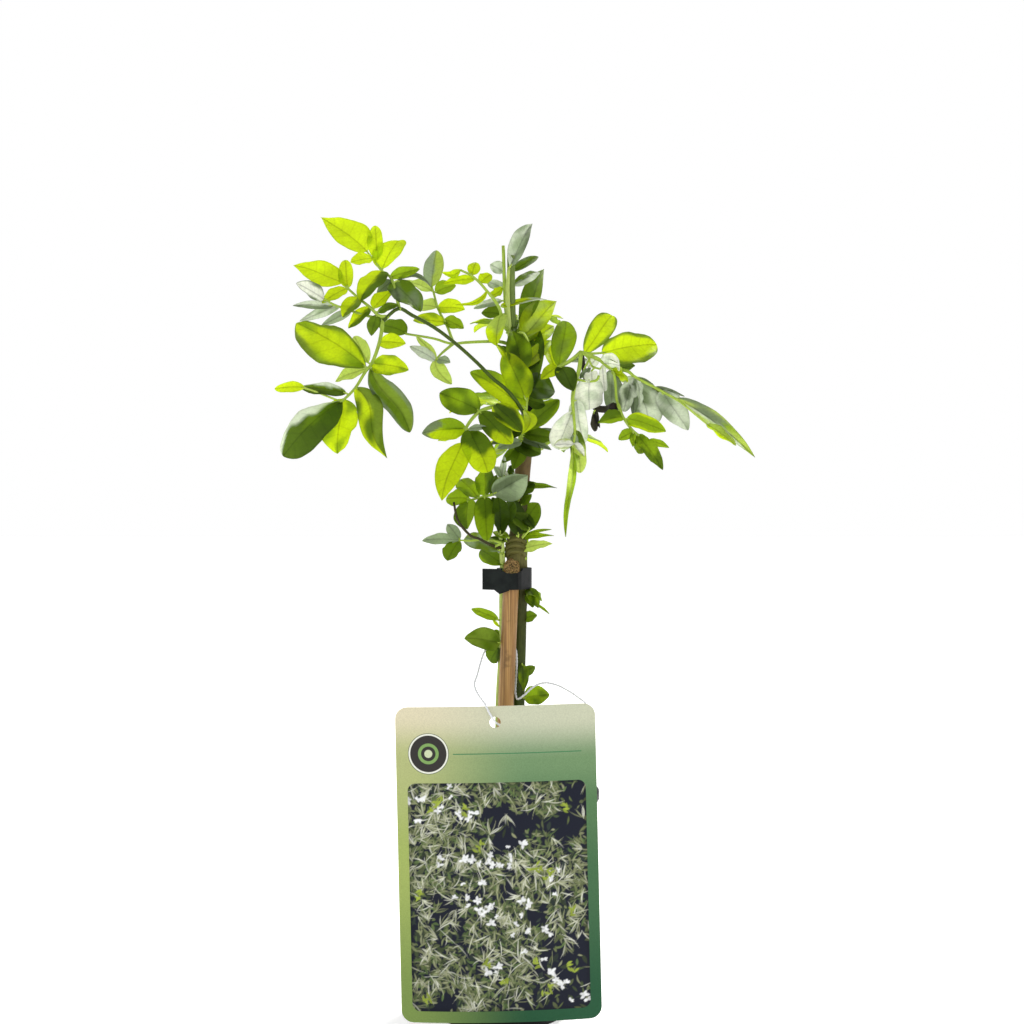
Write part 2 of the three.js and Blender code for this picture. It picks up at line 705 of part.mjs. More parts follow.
// Top left leaf, arching away from the top of the main stem.
const topLeftShoot = {
  stems: [
    [[5.4, 306, 7, 0.9], [2.5, 308.5, 3, 0.8], [1, 312, 0, 0.7], [0, 317, -3, 0.7],
      [-3, 322, -5, 0.7], [-6, 325.5, -6, 0.65], [-9, 329, -7, 0.6], [-13, 332.5, -8, 0.55],
      [-18, 335, -8, 0.5]],
  ],
  leaves: [
    {
      depth: -8,
      face: [0.1, -0.8, 0.55],
      leaflets: [
        [-18, 335, -26.3, 334, 3.4, { y: -8, arc: -3 }],
        [-13, 332.8, -11, 338.5, 6, { y: -8 }],
        [-9, 329.2, -4, 333, 5.5, { y: -7 }],
        [-11.5, 331, -26, 328.6, 4.4, { y: -7.5 }],
        [-6, 325.3, -20.5, 319.5, 2.4, { y: -6, arc: -4 }],
      ],
    },
  ],
};

// Middle left shoot: the broad leaf at the centre left.
const middleLeftShoot = {
  stems: [
    [[12.6, 259.5, 5, 1], [7, 262.5, -4, 0.9], [2, 268.5, -10, 0.85], [-3, 273, -14, 0.8]],
  ],
  leaves: [
    {
      depth: -14,
      face: [-0.2, -0.8, 0.5],
      thick: 0.9,
      stalk: [[-3, 273], [-9.5, 270.5], [-15, 264], [-16.5, 259], [-17, 256.4]],
      leaflets: [
        [-17, 256.4, -26.5, 230.3, 13, { bow: 0.08 }],
        [-9.5, 271, -27.5, 279.3, 12.6, { deep: -3, taper: 1.3 }],
        [-15.5, 263, -35.5, 260.8, 9.5, { deep: -2 }],
        [-16, 261, -28.5, 257.6, 4.6, { deep: 6 }],
        [-13.8, 262.4, -5.6, 243.2, 13.4, { roll: -12, belly: 0.56, taper: 0.92 }],
        [-9, 270.2, 5.2, 256.4, 10, { deep: -6, roll: 10, belly: 0.55, taper: 1.1 }],
        [-2.5, 274, 9.6, 262, 9.4, { deep: -8, belly: 0.55, taper: 1.1 }],
      ],
    },
  ],
};

// Centre: a short shoot in front of the main stem that carries the dense leaves.
const centreShoot = {
  stems: [
    [[12, 253, 4, 1.3], [9.5, 257, -2.5, 1.2], [10, 264, -7, 1.1], [11.5, 272, -9.5, 1.05],
      [11.8, 280, -10, 1], [11, 288, -9, 0.9], [10.4, 293, -8, 0.8]],
  ],
  leaves: [
    {
      depth: -10,
      face: [0.1, -0.85, 0.45],
      leaflets: [
        [10.6, 289, 5.4, 307.6, 11.6, { y: -10 }],
        [12.6, 279.6, 16.2, 310, 11, { y: -10, deep: 5, taper: 1.2 }],
        [11.4, 276.6, 2.2, 297.6, 12.6, { y: -12, deep: -7, taper: 1.1 }],
        [11.3, 272.5, -13.6, 288.6, 10.4, { y: -12, deep: -9, taper: 1.1 }],
        [11, 285, -2, 301.4, 5, { y: -10, deep: 8 }],
        [11.8, 281.5, 25, 279.8, 12, { y: -9, deep: 2, taper: 1.15 }],
        [11.8, 262.4, 27, 276.2, 9, { y: -8, deep: -4, belly: 0.45 }],
        [10.2, 260.4, 24.2, 258.4, 7, { y: -7, belly: 0.55 }],
        [9.6, 258, 23.5, 253.4, 3.6, { y: -4 }],
        [5.8, 256, 18.5, 251.4, 7.6, { y: -3, deep: -3, belly: 0.55 }],
        [11, 271.4, 10, 260.5, 6, { y: -13, arc: -3, deep: -6 }],
        [9.6, 257, -1, 254, 5, { y: -5, deep: -4 }],
        [9.6, 254, 6, 244.6, 7, { y: -1, deep: -5 }],
        [10.2, 266, -1, 262, 7, { y: -9, deep: -12 }],
      ],
    },
    {
      depth: -9,
      face: [0.3, -0.75, 0.55],
      leaflets: [
        [10.8, 290.5, 23.5, 303, 6.5, { y: -8, deep: 4 }],
        [10.4, 292.6, 9.5, 312, 6, { y: -8, deep: 3 }],
      ],
    },
  ],
};

// Right shoot: a long leaf reaching right, two bright leaflets that stand up, and a drooping leaf.
const rightShoot = {
  stems: [
    [[13.5, 281, 6.5, 1.1], [15.5, 284.5, 3, 1], [20, 287.5, 0, 0.95], [27, 291, -3, 0.9],
      [33, 294.5, -4, 0.9], [37, 298, -5, 0.9]],
    [[36.8, 297.6, -5, 0.95], [36, 290, -7, 0.95], [34, 283, -9, 0.9], [33, 276.5, -10, 0.85],
      [33.4, 270, -11, 0.7], [34, 262, -12, 0.6], [33.2, 254, -12, 0.55]],
    [[35, 285.2, -8.6, 0.7], [40, 284.4, -9, 0.6], [44, 285, -9, 0.6], [45, 287, -9, 0.55]],
    [[37.5, 297.4, -5, 0.6], [40, 295, -6, 0.45], [42, 291.2, -7, 0.45], [45.4, 290, -8, 0.45]],
    [[51.5, 290, -4, 0.7], [52.5, 283, -2, 0.65], [53, 276, -3, 0.6], [55, 270, -5, 0.6]],
    [[37, 297, -4, 1.1], [38.5, 288, 3, 1.1], [40.5, 279, 5, 1.2], [43.5, 272.6, 3, 1.5],
      [48, 271.6, -1, 1.6], [50.6, 272.2, -3.5, 2.1], [51.8, 272.5, -6, 2.3]],
  ],
  leaves: [
    {
      depth: -5,
      face: [0.25, 0.75, 0.6],
      thick: 0.9,
      stalk: [[36.6, 297.6], [45.5, 294], [50, 290.5], [58, 289], [61, 286.6], [70, 281.8], [80.5, 276],
        [82, 275]],
      leaflets: [
        [81, 276.6, 116, 250, 6, { arc: 0.6, belly: 0.38, taper: 1.5 }],
        [46, 293, 54.4, 291.6, 8.6, { deep: -3, belly: 0.5, taper: 0.7, roll: 8 }],
        [50.8, 289.6, 58.4, 284.6, 5.4, { deep: -6, roll: 20 }],
        [51, 289.4, 50.4, 271.2, 8.4, { deep: 3, belly: 0.5, taper: 0.8 }],
        [61.6, 286.4, 68.4, 264.8, 15, { deep: 2, roll: 10, belly: 0.55, taper: 0.9 }],
        [61, 286.6, 56, 270.6, 8.4, { deep: -3, roll: -15, taper: 0.9 }],
        [70, 281.8, 79, 268, 8, { deep: 5 }],
        [73, 280, 85.5, 262.4, 11.6, { roll: -10, taper: 1.2 }],
      ],
    },
    {
      depth: -5,
      face: [0.1, -0.8, 0.55],
      stalk: [[37, 297.6], [40, 297], [48, 297.4]],
      leaflets: [
        [38.5, 297.2, 51.2, 315.3, 12, { roll: 15, belly: 0.6, taper: 1.1 }],
        [47, 297.2, 71.4, 302, 13.6, { roll: -10, bow: 0.08, belly: 0.58, taper: 1.05 }],
      ],
    },
    {
      depth: -9,
      face: [-0.2, 0.8, 0.5],
      leaflets: [
        [40.4, 285, 40.6, 271.4, 13.6, { y: -9.6, belly: 0.6, taper: 0.36 }],
        [34.6, 275.6, 37.6, 256, 8.4, { y: -10.4, belly: 0.55, deep: -2, taper: 0.62 }],
        [34.6, 262, 36.6, 242.8, 7.4, { y: -12, belly: 0.55, taper: 0.9 }],
        [32.8, 271, 26.4, 253.4, 12, { y: -10.5, belly: 0.66, deep: -6, taper: 1.2 }],
        [33.4, 256, 38.2, 250.4, 5, { y: -13, deep: -2, taper: 1.2 }],
        [33.2, 254, 29.8, 213.3, 3.6, { y: -12, arc: 1, belly: 0.4 }],
        [43.5, 272.6, 43.2, 261.6, 3.8, { y: 3, deep: -3, belly: 0.6 }],
      ],
    },
    {
      depth: -5,
      face: [0.15, -0.8, 0.5],
      stalk: [[53.6, 274], [55, 270], [56, 268], [60, 262.4], [63, 260], [67.5, 257.4]],
      leaflets: [
        [56, 268.2, 44.4, 265.6, 6.4, { bow: 0.08, belly: 0.34 }],
        [57.5, 267.4, 75.5, 261.8, 7.6, { deep: -3, taper: 1.2 }],
        [61, 261.4, 53.8, 258, 5, { deep: 3 }],
        [62.6, 260.2, 74, 244.3, 6.6, { deep: -4, roll: 15 }],
        [67.3, 257.5, 77, 254.4, 3.4],
        [62.9, 259.4, 64.4, 251.4, 5.6, { deep: 4, taper: 1, belly: 0.6 }],
      ],
    },
    {
      depth: -3,
      face: [0.1, -0.8, 0.5],
      leaflets: [
        [26.8, 291, 30, 311.7, 11.4, { y: -3, belly: 0.55, taper: 1.2 }],
        [26.5, 291, 18.6, 285.6, 6, { y: -3, deep: -4 }],
        [27.4, 291, 33.4, 280, 9, { y: -3, deep: -5 }],
        [25, 290.2, 19.6, 303, 5, { y: -2, deep: 8 }],
      ],
    },
  ],
};

// Back shoots, which follow a rule: paired leaves along a stem that leans back, in true places.
const BACK_SHOOTS = [
  { name: 'back_shoot_low', start: [11.5, 8, 248], heading: 74, rise: 24, reach: 60, leafLength: 44 },
  { name: 'back_shoot_middle', start: [14, 8, 263.5], heading: 112, rise: 30, reach: 56, leafLength: 42 },
  { name: 'back_shoot_high', start: [7, 9.5, 302], heading: 88, rise: 34, reach: 48, leafLength: 36 },
];
const BACK_LEAVES = 3;
const BACK_PAIRS = 2;
const BACK_LEAFLET_SHARE = 0.52;
const BACK_SIDE_SHARE = 0.8;
const BACK_LEAFLET_RATIO = 0.4;
const BACK_LEAFLET_BOW = 0.09;
const BACK_STALK_SHARE = 0.6;
const BACK_SPREAD = 38;
const BACK_LIFT = 10;
const BACK_DROOP = 0.32;
const BACK_LEAN = 0.75;
const BACK_DIP = 0.28;
const BACK_STEM_SHARE = 0.55;
const BACK_STEM_DROOP = 0.1;

function direction(heading, rise) {
  const h = radians(heading);
  const r = radians(rise);
  return new THREE.Vector3(Math.cos(h) * Math.cos(r), Math.sin(h) * Math.cos(r), Math.sin(r));
}

function leafletAt(base, along, length, face) {
  return {
    root: null,
    base,
    tip: base.clone().addScaledVector(along, length),
    face,
    width: length * BACK_LEAFLET_RATIO,
    fold: BLADE_FOLD,
    bow: BACK_LEAFLET_BOW,
    arc: 0,
    belly: BLADE_BELLY,
    taper: BLADE_TAPER,
  };
}

// A feathered leaf: a drooping stalk with pairs of leaflets and one at its end.
function featheredLeaf(start, heading, rise, length) {
  const out = direction(heading, rise);
  const points = [0, 0.45, 0.75, 1].map((t) => {
    const point = start.clone().addScaledVector(out, length * t * BACK_STALK_SHARE);
    point.z -= BACK_DROOP * length * t * t * BACK_STALK_SHARE;
    return point;
  });
  const stalk = { points, radii: [0.8, 0.72, 0.65, 0.55] };
  const leafletLength = length * BACK_LEAFLET_SHARE;
  const aside = out.clone().cross(UP).normalize();
  const blades = [];
  for (let pair = 0; pair < BACK_PAIRS; pair += 1) {
    const at = 1 + pair;
    const along = points[at].clone().sub(points[at - 1]).normalize();
    const face = aside.clone().cross(along).normalize();
    [-1, 1].forEach((side) => {
      const reach = along.clone().multiplyScalar(BACK_LEAN).addScaledVector(aside, side);
      reach.z -= BACK_DIP;
      blades.push(leafletAt(points[at], reach.normalize(), leafletLength * BACK_SIDE_SHARE, face));
    });
  }
  const last = points[3].clone().sub(points[2]).normalize();
  last.z -= BACK_DIP;
  const lastFace = aside.clone().cross(last).normalize();
  blades.push(leafletAt(points[3], last.normalize(), leafletLength, lastFace));
  return { stalks: [stalk], blades };
}

function backShoot({ start, heading, rise, reach, leafLength }) {
  const out = direction(heading, rise);
  const root = vector(start);
  const points = [0, 0.33, 0.67, 1].map((t) => {
    const point = root.clone().addScaledVector(out, reach * BACK_STEM_SHARE * t);
    point.z -= BACK_STEM_DROOP * reach * t * t;
    return point;
  });
  const stem = { points, radii: [1.2, 1.1, 1, 0.8] };
  const parts = [];
  for (let i = 0; i < BACK_LEAVES; i += 1) {
    const at = points[i + 1];
    const turn = i === BACK_LEAVES - 1 ? 0 : BACK_SPREAD * (i % 2 === 0 ? 1 : -1);
    parts.push(featheredLeaf(at, heading + turn, rise + BACK_LIFT, leafLength));
  }
  return { stem, parts };
}

function growBackShoot(shoot) {
  const { stem, parts } = backShoot(shoot);
  const tubes = [stem, ...parts.flatMap((leaf) => leaf.stalks)];
  const blades = parts.flatMap((leaf) => leaf.blades);
  const build = (grow) => join([
    ...tubes.map(({ points, radii }) => tube(points, radii.map((radius) => radius + grow), STALK_SIDES)),
    ...blades.map((leaflet) => blade(leaflet, grow)),
  ]);
  return { body: build(0), room: build(GAP) };
}

// Cane: a straight rod with one raised node, cut off on a slant that looks to the front.
function caneLine(z) {
  return inSight(CANE_X + (z - CANE_X_HEIGHT) * CANE_LEAN, z, CANE_DEPTH);
}

function caneSolid(grow = 0) {
  const node = CANE_NODE_HEIGHT;
  const heights = [CANE_FOOT - grow, node - 2, node - 0.6, node + 0.6, node + 2, CANE_TOP + 4];
  const swell = [0, 0, CANE_SWELL, CANE_SWELL, 0, 0];
  const radii = swell.map((extra) => CANE_RADIUS + extra + grow);
  return tube(heights.map(caneLine), radii, CANE_SIDES);
}

function slantCutter() {
  const size = 30;
  const box = new THREE.BoxGeometry(size, size, size);
  box.translate(0, 0, size / 2);
  box.rotateX(radians(CANE_CUT_ANGLE));
  const top = caneLine(CANE_TOP);
  box.translate(top.x, top.y + CANE_RADIUS, CANE_TOP);
  return solidFromGeometry(box);
}

const LOOP_POINTS = 14;

// Ties: a closed band round several stems, from the outline that a stretched loop takes.
function hull(points) {
  const sorted = [...points].sort((a, b) => a.x - b.x || a.y - b.y);
  const turn = (o, a, b) => (a.x - o.x) * (b.y - o.y) - (a.y - o.y) * (b.x - o.x);
  const half = (list) => {
    const chain = [];
    list.forEach((point) => {
      while (chain.length > 1 && turn(chain[chain.length - 2], chain[chain.length - 1], point) <= 0) {
        chain.pop();
      }
      chain.push(point);
    });
    chain.pop();
    return chain;
  };
  return [...half(sorted), ...half(sorted.reverse())];
}

function loopOutline(circles, extra) {
  const points = [];
  circles.forEach(({ x, y, radius }) => {
    for (let k = 0; k < LOOP_POINTS; k += 1) {
      const angle = (2 * Math.PI * k) / LOOP_POINTS;
      const reach = radius + extra;
      points.push(new THREE.Vector2(x + reach * Math.cos(angle), y + reach * Math.sin(angle)));
    }
  });
  return hull(points);
}

function band(circles, clearance, thickness, height) {
  const shape = new THREE.Shape(loopOutline(circles, clearance + thickness));
  shape.holes.push(new THREE.Path(loopOutline(circles, clearance)));
  return solidFromGeometry(new THREE.ExtrudeGeometry(shape, { depth: height, bevelEnabled: false }));
}

const LOWER_TIE_FOOT = 189.9;
const LOWER_TIE_HEIGHT = 9.6;
const LOWER_TIE_THICKNESS = 0.9;
// The two stems that the lower tie holds against the cane: [x, z, depth, radius].
const LOWER_TIE_STEMS = [[8.9, 193, 7.1, 4.4], [1.15, 194, 3.3, 1.4]];
const LOWER_TIE_EASE = 0.2;
const TIE_TAB_LEFT = -7.9;
const TIE_TAB_THICKNESS = 1.1;
const TIE_TAB_SINK = 0.33;
const TIE_LUG_LEFT = -2.6;
const TIE_LUG_TIP = -0.2;
const TIE_LUG_DROP = 1.9;
const TIE_DIP_RADIUS = 9;
const TIE_DIP_DEPTH = 2.3;
const TIE_DIP_SHIFT = 0.4;

function lowerTie() {
  const cane = caneLine(LOWER_TIE_FOOT + LOWER_TIE_HEIGHT / 2);
  const circles = [
    { x: cane.x, y: cane.y, radius: CANE_RADIUS + LOWER_TIE_EASE },
    ...LOWER_TIE_STEMS.map(([x, z, y, radius]) => {
      const stem = inSight(x, z, y);
      return { x: stem.x, y: stem.y, radius };
    }),
  ];
  const loop = band(circles, GAP, LOWER_TIE_THICKNESS, LOWER_TIE_HEIGHT);
  const front = cane.y - CANE_RADIUS - GAP - LOWER_TIE_THICKNESS;
  const tab = new THREE.Shape([
    new THREE.Vector2(TIE_TAB_LEFT, 0.2),
    new THREE.Vector2(TIE_LUG_LEFT, 0),
    new THREE.Vector2(TIE_LUG_TIP, -TIE_LUG_DROP),
    new THREE.Vector2(cane.x - 1, -0.4),
    new THREE.Vector2(cane.x - 1, LOWER_TIE_HEIGHT - 0.2),
    new THREE.Vector2(TIE_TAB_LEFT, LOWER_TIE_HEIGHT),
  ]);
  const plate = new THREE.ExtrudeGeometry(tab, { depth: TIE_TAB_THICKNESS, bevelEnabled: false });
  plate.rotateX(Math.PI / 2);
  plate.translate(0, front + TIE_TAB_THICKNESS - TIE_TAB_SINK, 0);
  const dip = new THREE.CylinderGeometry(TIE_DIP_RADIUS, TIE_DIP_RADIUS, 8, 24);
  dip.translate(cane.x + TIE_DIP_SHIFT, front, LOWER_TIE_HEIGHT + TIE_DIP_RADIUS - TIE_DIP_DEPTH);
  return join([loop, solidFromGeometry(plate)])
    .subtract(solidFromGeometry(dip))
    .translate([0, 0, LOWER_TIE_FOOT]);
}

const UPPER_TIE_FOOT = 268;
const UPPER_TIE_HEIGHT = 8;
const UPPER_TIE_THICKNESS = 1;
const UPPER_TIE_X = 14.2;
const UPPER_TIE_DEPTH = 5.8;
const UPPER_TIE_RADIUS = 3.6;
const UPPER_TIE_BULGE = [1.2, -1.4, 3];

function upperTie() {
  const stem = inSight(UPPER_TIE_X, UPPER_TIE_FOOT + UPPER_TIE_HEIGHT / 2, UPPER_TIE_DEPTH);
  const [aside, forward, radius] = UPPER_TIE_BULGE;
  const circles = [
    { x: stem.x, y: stem.y, radius: UPPER_TIE_RADIUS },
    { x: stem.x + aside, y: stem.y + forward, radius },
  ];
  return band(circles, 0, UPPER_TIE_THICKNESS, UPPER_TIE_HEIGHT).translate([0, 0, UPPER_TIE_FOOT]);
}

// Pot: a thin tapered wall with a rolled lip, a foot ring and drainage holes.
function potSolid() {
  const wallTop = POT_LIP_RADIUS - POT_LIP_WIDTH;
  const profile = [
    [0, POT_FLOOR + 1],
    [POT_BASE_RADIUS - POT_WALL - 2, POT_FLOOR + 1],
    [POT_BASE_RADIUS - POT_WALL, POT_FLOOR + 2.5],
    [wallTop - POT_WALL, POT_HEIGHT - POT_LIP_HEIGHT],
    [wallTop - POT_WALL, POT_HEIGHT - 0.8],
    [wallTop - POT_WALL + 0.8, POT_HEIGHT],
    [POT_LIP_RADIUS - 1, POT_HEIGHT],
    [POT_LIP_RADIUS, POT_HEIGHT - 1],
    [POT_LIP_RADIUS, POT_HEIGHT - POT_LIP_HEIGHT],
    [POT_LIP_RADIUS - 1, POT_HEIGHT - POT_LIP_HEIGHT],
    [wallTop + 0.4, POT_HEIGHT - POT_LIP_HEIGHT + 1],
    [wallTop - 0.1, POT_HEIGHT - POT_LIP_HEIGHT - 0.6],
    [POT_BASE_RADIUS, 3],
    [POT_BASE_RADIUS - 1, 0],
    [POT_BASE_RADIUS - 1 - POT_FOOT, 0],
    [POT_BASE_RADIUS - 1.6 - POT_FOOT, 1],
    [8, 1],
    [7.4, 0],
    [0, 0],
  ];
  const points = profile.map(([r, z]) => new THREE.Vector2(r, z)).reverse();
  const geometry = new THREE.LatheGeometry(points, POT_SIDES);
  geometry.rotateX(Math.PI / 2);
  let pot = solidFromGeometry(geometry);
  for (let i = 0; i < DRAIN_COUNT; i += 1) {
    const angle = (2 * Math.PI * i) / DRAIN_COUNT;
    const drill = new THREE.CylinderGeometry(DRAIN_RADIUS, DRAIN_RADIUS, 10, DRAIN_SIDES);
    drill.rotateX(Math.PI / 2);
    drill.translate(DRAIN_RING_RADIUS * Math.cos(angle), DRAIN_RING_RADIUS * Math.sin(angle), 1);
    pot = pot.subtract(solidFromGeometry(drill));
  }
  return pot;
}

// A small repeatable random draw.
function seededDraw(seed) {
  let state = seed;
  return () => {
    state = (state * 1103515245 + 12345) % 2147483648;
    return state / 2147483648;
  };
}

// Soil: it fills the pot, and its top is crumbly and a little heaped.
function soilSolid() {
  const wallTop = POT_LIP_RADIUS - POT_LIP_WIDTH - POT_WALL;
  const slope = (wallTop - (POT_BASE_RADIUS - POT_WALL)) / (POT_HEIGHT - POT_LIP_HEIGHT - POT_FLOOR - 2.5);
  const wallAt = (z) => POT_BASE_RADIUS - POT_WALL + slope * (z - POT_FLOOR - 2.5) - GAP - 0.15;
  const floor = POT_FLOOR + 1 + GAP;
  const rings = [
    [wallAt(floor) - 2.6, floor],
    [wallAt(floor + 2.6), floor + 2.6],
    [wallAt(SOIL_TOP), SOIL_TOP],
    [33, SOIL_TOP + 0.6],
    [24, SOIL_TOP + 1.4],
    [15, SOIL_TOP + 2.2],
    [7, SOIL_TOP + SOIL_HEAP],
  ];
  const draw = seededDraw(7);
  const positions = [0, 0, floor];
  rings.forEach(([radius, z], ring) => {
    for (let k = 0; k < SOIL_SIDES; k += 1) {
      const angle = (2 * Math.PI * k) / SOIL_SIDES;
      const rough = ring > 2 ? (draw() - 0.5) * SOIL_ROUGHNESS : 0;
      const shift = ring > 2 ? (draw() - 0.5) * SOIL_SHIFT : 0;
      positions.push((radius + shift) * Math.cos(angle), (radius + shift) * Math.sin(angle), z + rough);
    }
  });
  positions.push(0, 0, SOIL_TOP + SOIL_HEAP);
  const triangles = [];
  const topIndex = positions.length / 3 - 1;
  for (let k = 0; k < SOIL_SIDES; k += 1) {
    const next = (k + 1) % SOIL_SIDES;
    triangles.push(0, 1 + next, 1 + k);
    for (let ring = 0; ring + 1 < rings.length; ring += 1) {
      const a = 1 + ring * SOIL_SIDES + k;
      const b = 1 + ring * SOIL_SIDES + next;
      triangles.push(a, b, b + SOIL_SIDES, a, b + SOIL_SIDES, a + SOIL_SIDES);
    }
    const lastRing = 1 + (rings.length - 1) * SOIL_SIDES;
    triangles.push(lastRing + k, lastRing + next, topIndex);
  }
  return solidFrom(positions, triangles);
}

// Tag: a card with round corners and a hole, bowed about an upright axis behind it.
function tagSolid() {
  const outer = TAG_BOW_RADIUS;
  const half = Math.asin(TAG_WIDTH / 2 / outer) * 1.05;
  const middle = -Math.PI / 2;
  const slab = new THREE.Shape();
  for (let i = 0; i <= TAG_SLICES; i += 1) {
    const angle = middle - half + (2 * half * i) / TAG_SLICES;
    const [x, y] = [outer * Math.cos(angle), outer * Math.sin(angle) + outer];
    if (i === 0) {
      slab.moveTo(x, y);
    } else {
      slab.lineTo(x, y);
    }
  }
  for (let i = TAG_SLICES; i >= 0; i -= 1) {
    const angle = middle - half + (2 * half * i) / TAG_SLICES;
    const inner = outer - TAG_THICKNESS;
    slab.lineTo(inner * Math.cos(angle), inner * Math.sin(angle) + outer);
  }
  const card = new THREE.ExtrudeGeometry(slab, { depth: TAG_HEIGHT + 4, bevelEnabled: false });
  card.translate(0, 0, -2);
  const [w, h, r] = [TAG_WIDTH / 2, TAG_HEIGHT, TAG_CORNER];
  const outline = new THREE.Shape();
  outline.moveTo(-w + r, 0);
  outline.lineTo(w - r, 0);
  outline.absarc(w - r, r, r, -Math.PI / 2, 0, false);
  outline.absarc(w - r, h - r, r, 0, Math.PI / 2, false);
  outline.absarc(-w + r, h - r, r, Math.PI / 2, Math.PI, false);
  outline.absarc(-w + r, r, r, Math.PI, 1.5 * Math.PI, false);
  const hole = new THREE.Path();
  hole.absarc(0, h - TAG_HOLE_DROP, TAG_HOLE_RADIUS, 0, 2 * Math.PI, true);
  outline.holes.push(hole);
  const prism = new THREE.ExtrudeGeometry(outline, { depth: 40, bevelEnabled: false, curveSegments: 6 });
  prism.rotateX(Math.PI / 2);
  prism.translate(0, 20, 0);
  return solidFromGeometry(card).intersect(solidFromGeometry(prism));
}

// String: out of the tag's hole at the front, round the stems, and back to the hole from behind.
const STRING_ROUTE = [
  [-2.2, 129.4, -45.9],
  [-2.8, 130.4, -47.4],
  [-4.7, 133.4, -47.9],
  [-6.9, 137.8, -46.6],
  [-9.9, 142, -42],
  [-11.6, 146.4, -36],
  [-10.3, 151, -28],
  [-8.8, 156.5, -16],
  [-6.9, 161.7, -3.5],
  [-4.6, 164.5, 1.6],
  [-2.2, 166.2, 4.9],
  [1.2, 167.2, 6.7],
  [4.6, 166, 4.6],
  [7.1, 162.5, 2.5],
  [7.6, 156, 2.3],
  [7.3, 149, 2.1],
  [7, 143, 1.2],
  [8, 140, -1.6],
  [11, 141.8, -3],
  [14, 144.6, -3.4],
  [17.2, 146.7, -4.4],
  [21, 147.4, -6.5],
  [25.8, 146.4, -11],
  [30, 144.4, -17],
  [35, 141.2, -25],
  [39.6, 137, -34],
  [40.5, 131.5, -39],
  [36, 126.5, -41],
  [26, 123.5, -42.6],
  [14, 123.8, -43.4],
  [3.4, 126.7, -43.8],
  [-1.1, 128.7, -44.1],
  [-2.2, 129.4, -45.1],
];

function stringGeometry() {
  const places = STRING_ROUTE.map(([x, z, y]) => inSight(x, z, y));
  const route = new THREE.CatmullRomCurve3(places, false, 'centripetal');
  const section = new THREE.Shape();
  for (let k = 0; k < STRING_SIDES; k += 1) {
    const angle = (2 * Math.PI * k) / STRING_SIDES;
    const [x, y] = [STRING_RADIUS * Math.cos(angle), STRING_RADIUS * Math.sin(angle)];
    if (k === 0) {
      section.moveTo(x, y);
    } else {
      section.lineTo(x, y);
    }
  }
  section.closePath();
  const options = { steps: STRING_STEPS, extrudePath: route, bevelEnabled: false };
  return new THREE.ExtrudeGeometry(section, options);
}

// Finishes.
function finish(color, roughness, metalness = 0) {
  return new THREE.MeshStandardMaterial({ color, roughness, metalness });
}

const FINISH = {
  potPlastic: finish('#17191a', 0.55),
  soil: finish('#2e231a', 0.95),
  bamboo: finish('#a98a5c', 0.6),
  wood: finish('#4a5a22', 0.7),
  leafLime: finish('#a8c81e', 0.45),
  leafGreen: finish('#5f8f14', 0.45),
  leafDark: finish('#3f6a12', 0.45),
  leafPale: finish('#b9c9a4', 0.55),
  tie: finish('#20282b', 0.5),
  card: finish('#9fb384', 0.5),
  string: finish('#f2f2f0', 0.7),
};

const plant = new THREE.Group();
const holder = new THREE.Group();

function addNode(group, name, geometry, material) {
  const mesh = new THREE.Mesh(geometry, material);
  mesh.name = name;
  group.add(mesh);
  return mesh;
}

// Holder: pot, soil, cane, ties and tag.
const caneRoom = caneSolid(GAP);
const cane = caneSolid().subtract(slantCutter());

const main = growShoot(mainShoot);
const second = growShoot(secondShoot);
const shoots = [
  ['main_stem', main, FINISH.wood],
  ['second_stem', second, FINISH.leafGreen],
  ['centre_shoot', growShoot(centreShoot), FINISH.leafDark],
  ['middle_left_shoot', growShoot(middleLeftShoot), FINISH.leafGreen],
  ['left_shoot', growShoot(leftShoot), FINISH.leafLime],
  ['upper_left_shoot', growShoot(upperLeftShoot), FINISH.leafGreen],
  ['top_left_shoot', growShoot(topLeftShoot), FINISH.leafGreen],
  ['right_shoot', growShoot(rightShoot), FINISH.leafPale],
  ...BACK_SHOOTS.map((shoot) => [shoot.name, growBackShoot(shoot), FINISH.leafGreen]),
];

const soil = soilSolid().subtract(join([caneRoom, main.room, second.room]));

addNode(holder, 'pot', geometryFrom(potSolid()), FINISH.potPlastic);
addNode(holder, 'soil', geometryFrom(soil), FINISH.soil);
addNode(holder, 'cane', geometryFrom(cane), FINISH.bamboo);
addNode(holder, 'lower_tie', geometryFrom(lowerTie()), FINISH.tie);
addNode(holder, 'upper_tie', geometryFrom(upperTie()), FINISH.tie);

const tag = addNode(holder, 'tag', geometryFrom(tagSolid()), FINISH.card);
tag.rotation.y = radians(TAG_TURN);
tag.position.set(TAG_FOOT_X, -POT_LIP_RADIUS - GAP - TAG_THICKNESS - 0.15, TAG_FOOT);
addNode(holder, 'tag_string', stringGeometry(), FINISH.string);

// Each shoot leaves room for the cane, the ties and the shoots that come before it.
const taken = [caneRoom, lowerTie(), upperTie()];
shoots.forEach(([name, { body, room }, material]) => {
  const clear = largestPiece(body.subtract(join(taken)));
  addNode(plant, name, geometryFrom(clear), material);
  taken.push(room);
});

const jasmine = new THREE.Group();
jasmine.add(holder, plant);

export default jasmine;
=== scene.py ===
# %% [markdown]
# # A potted common jasmine
#
# This lesson dresses the plain solids of a small climbing jasmine. The plant stands in a black
# nursery pot, tied to a bamboo cane, and a printed card hangs on it by a thread. The solids give
# every piece its place, and each cell below gives one piece the form and the finish of the real one.

# %% Load the solids
import math
import random

import bmesh
import bpy
import numpy as np
from mathutils import Matrix, Vector, noise


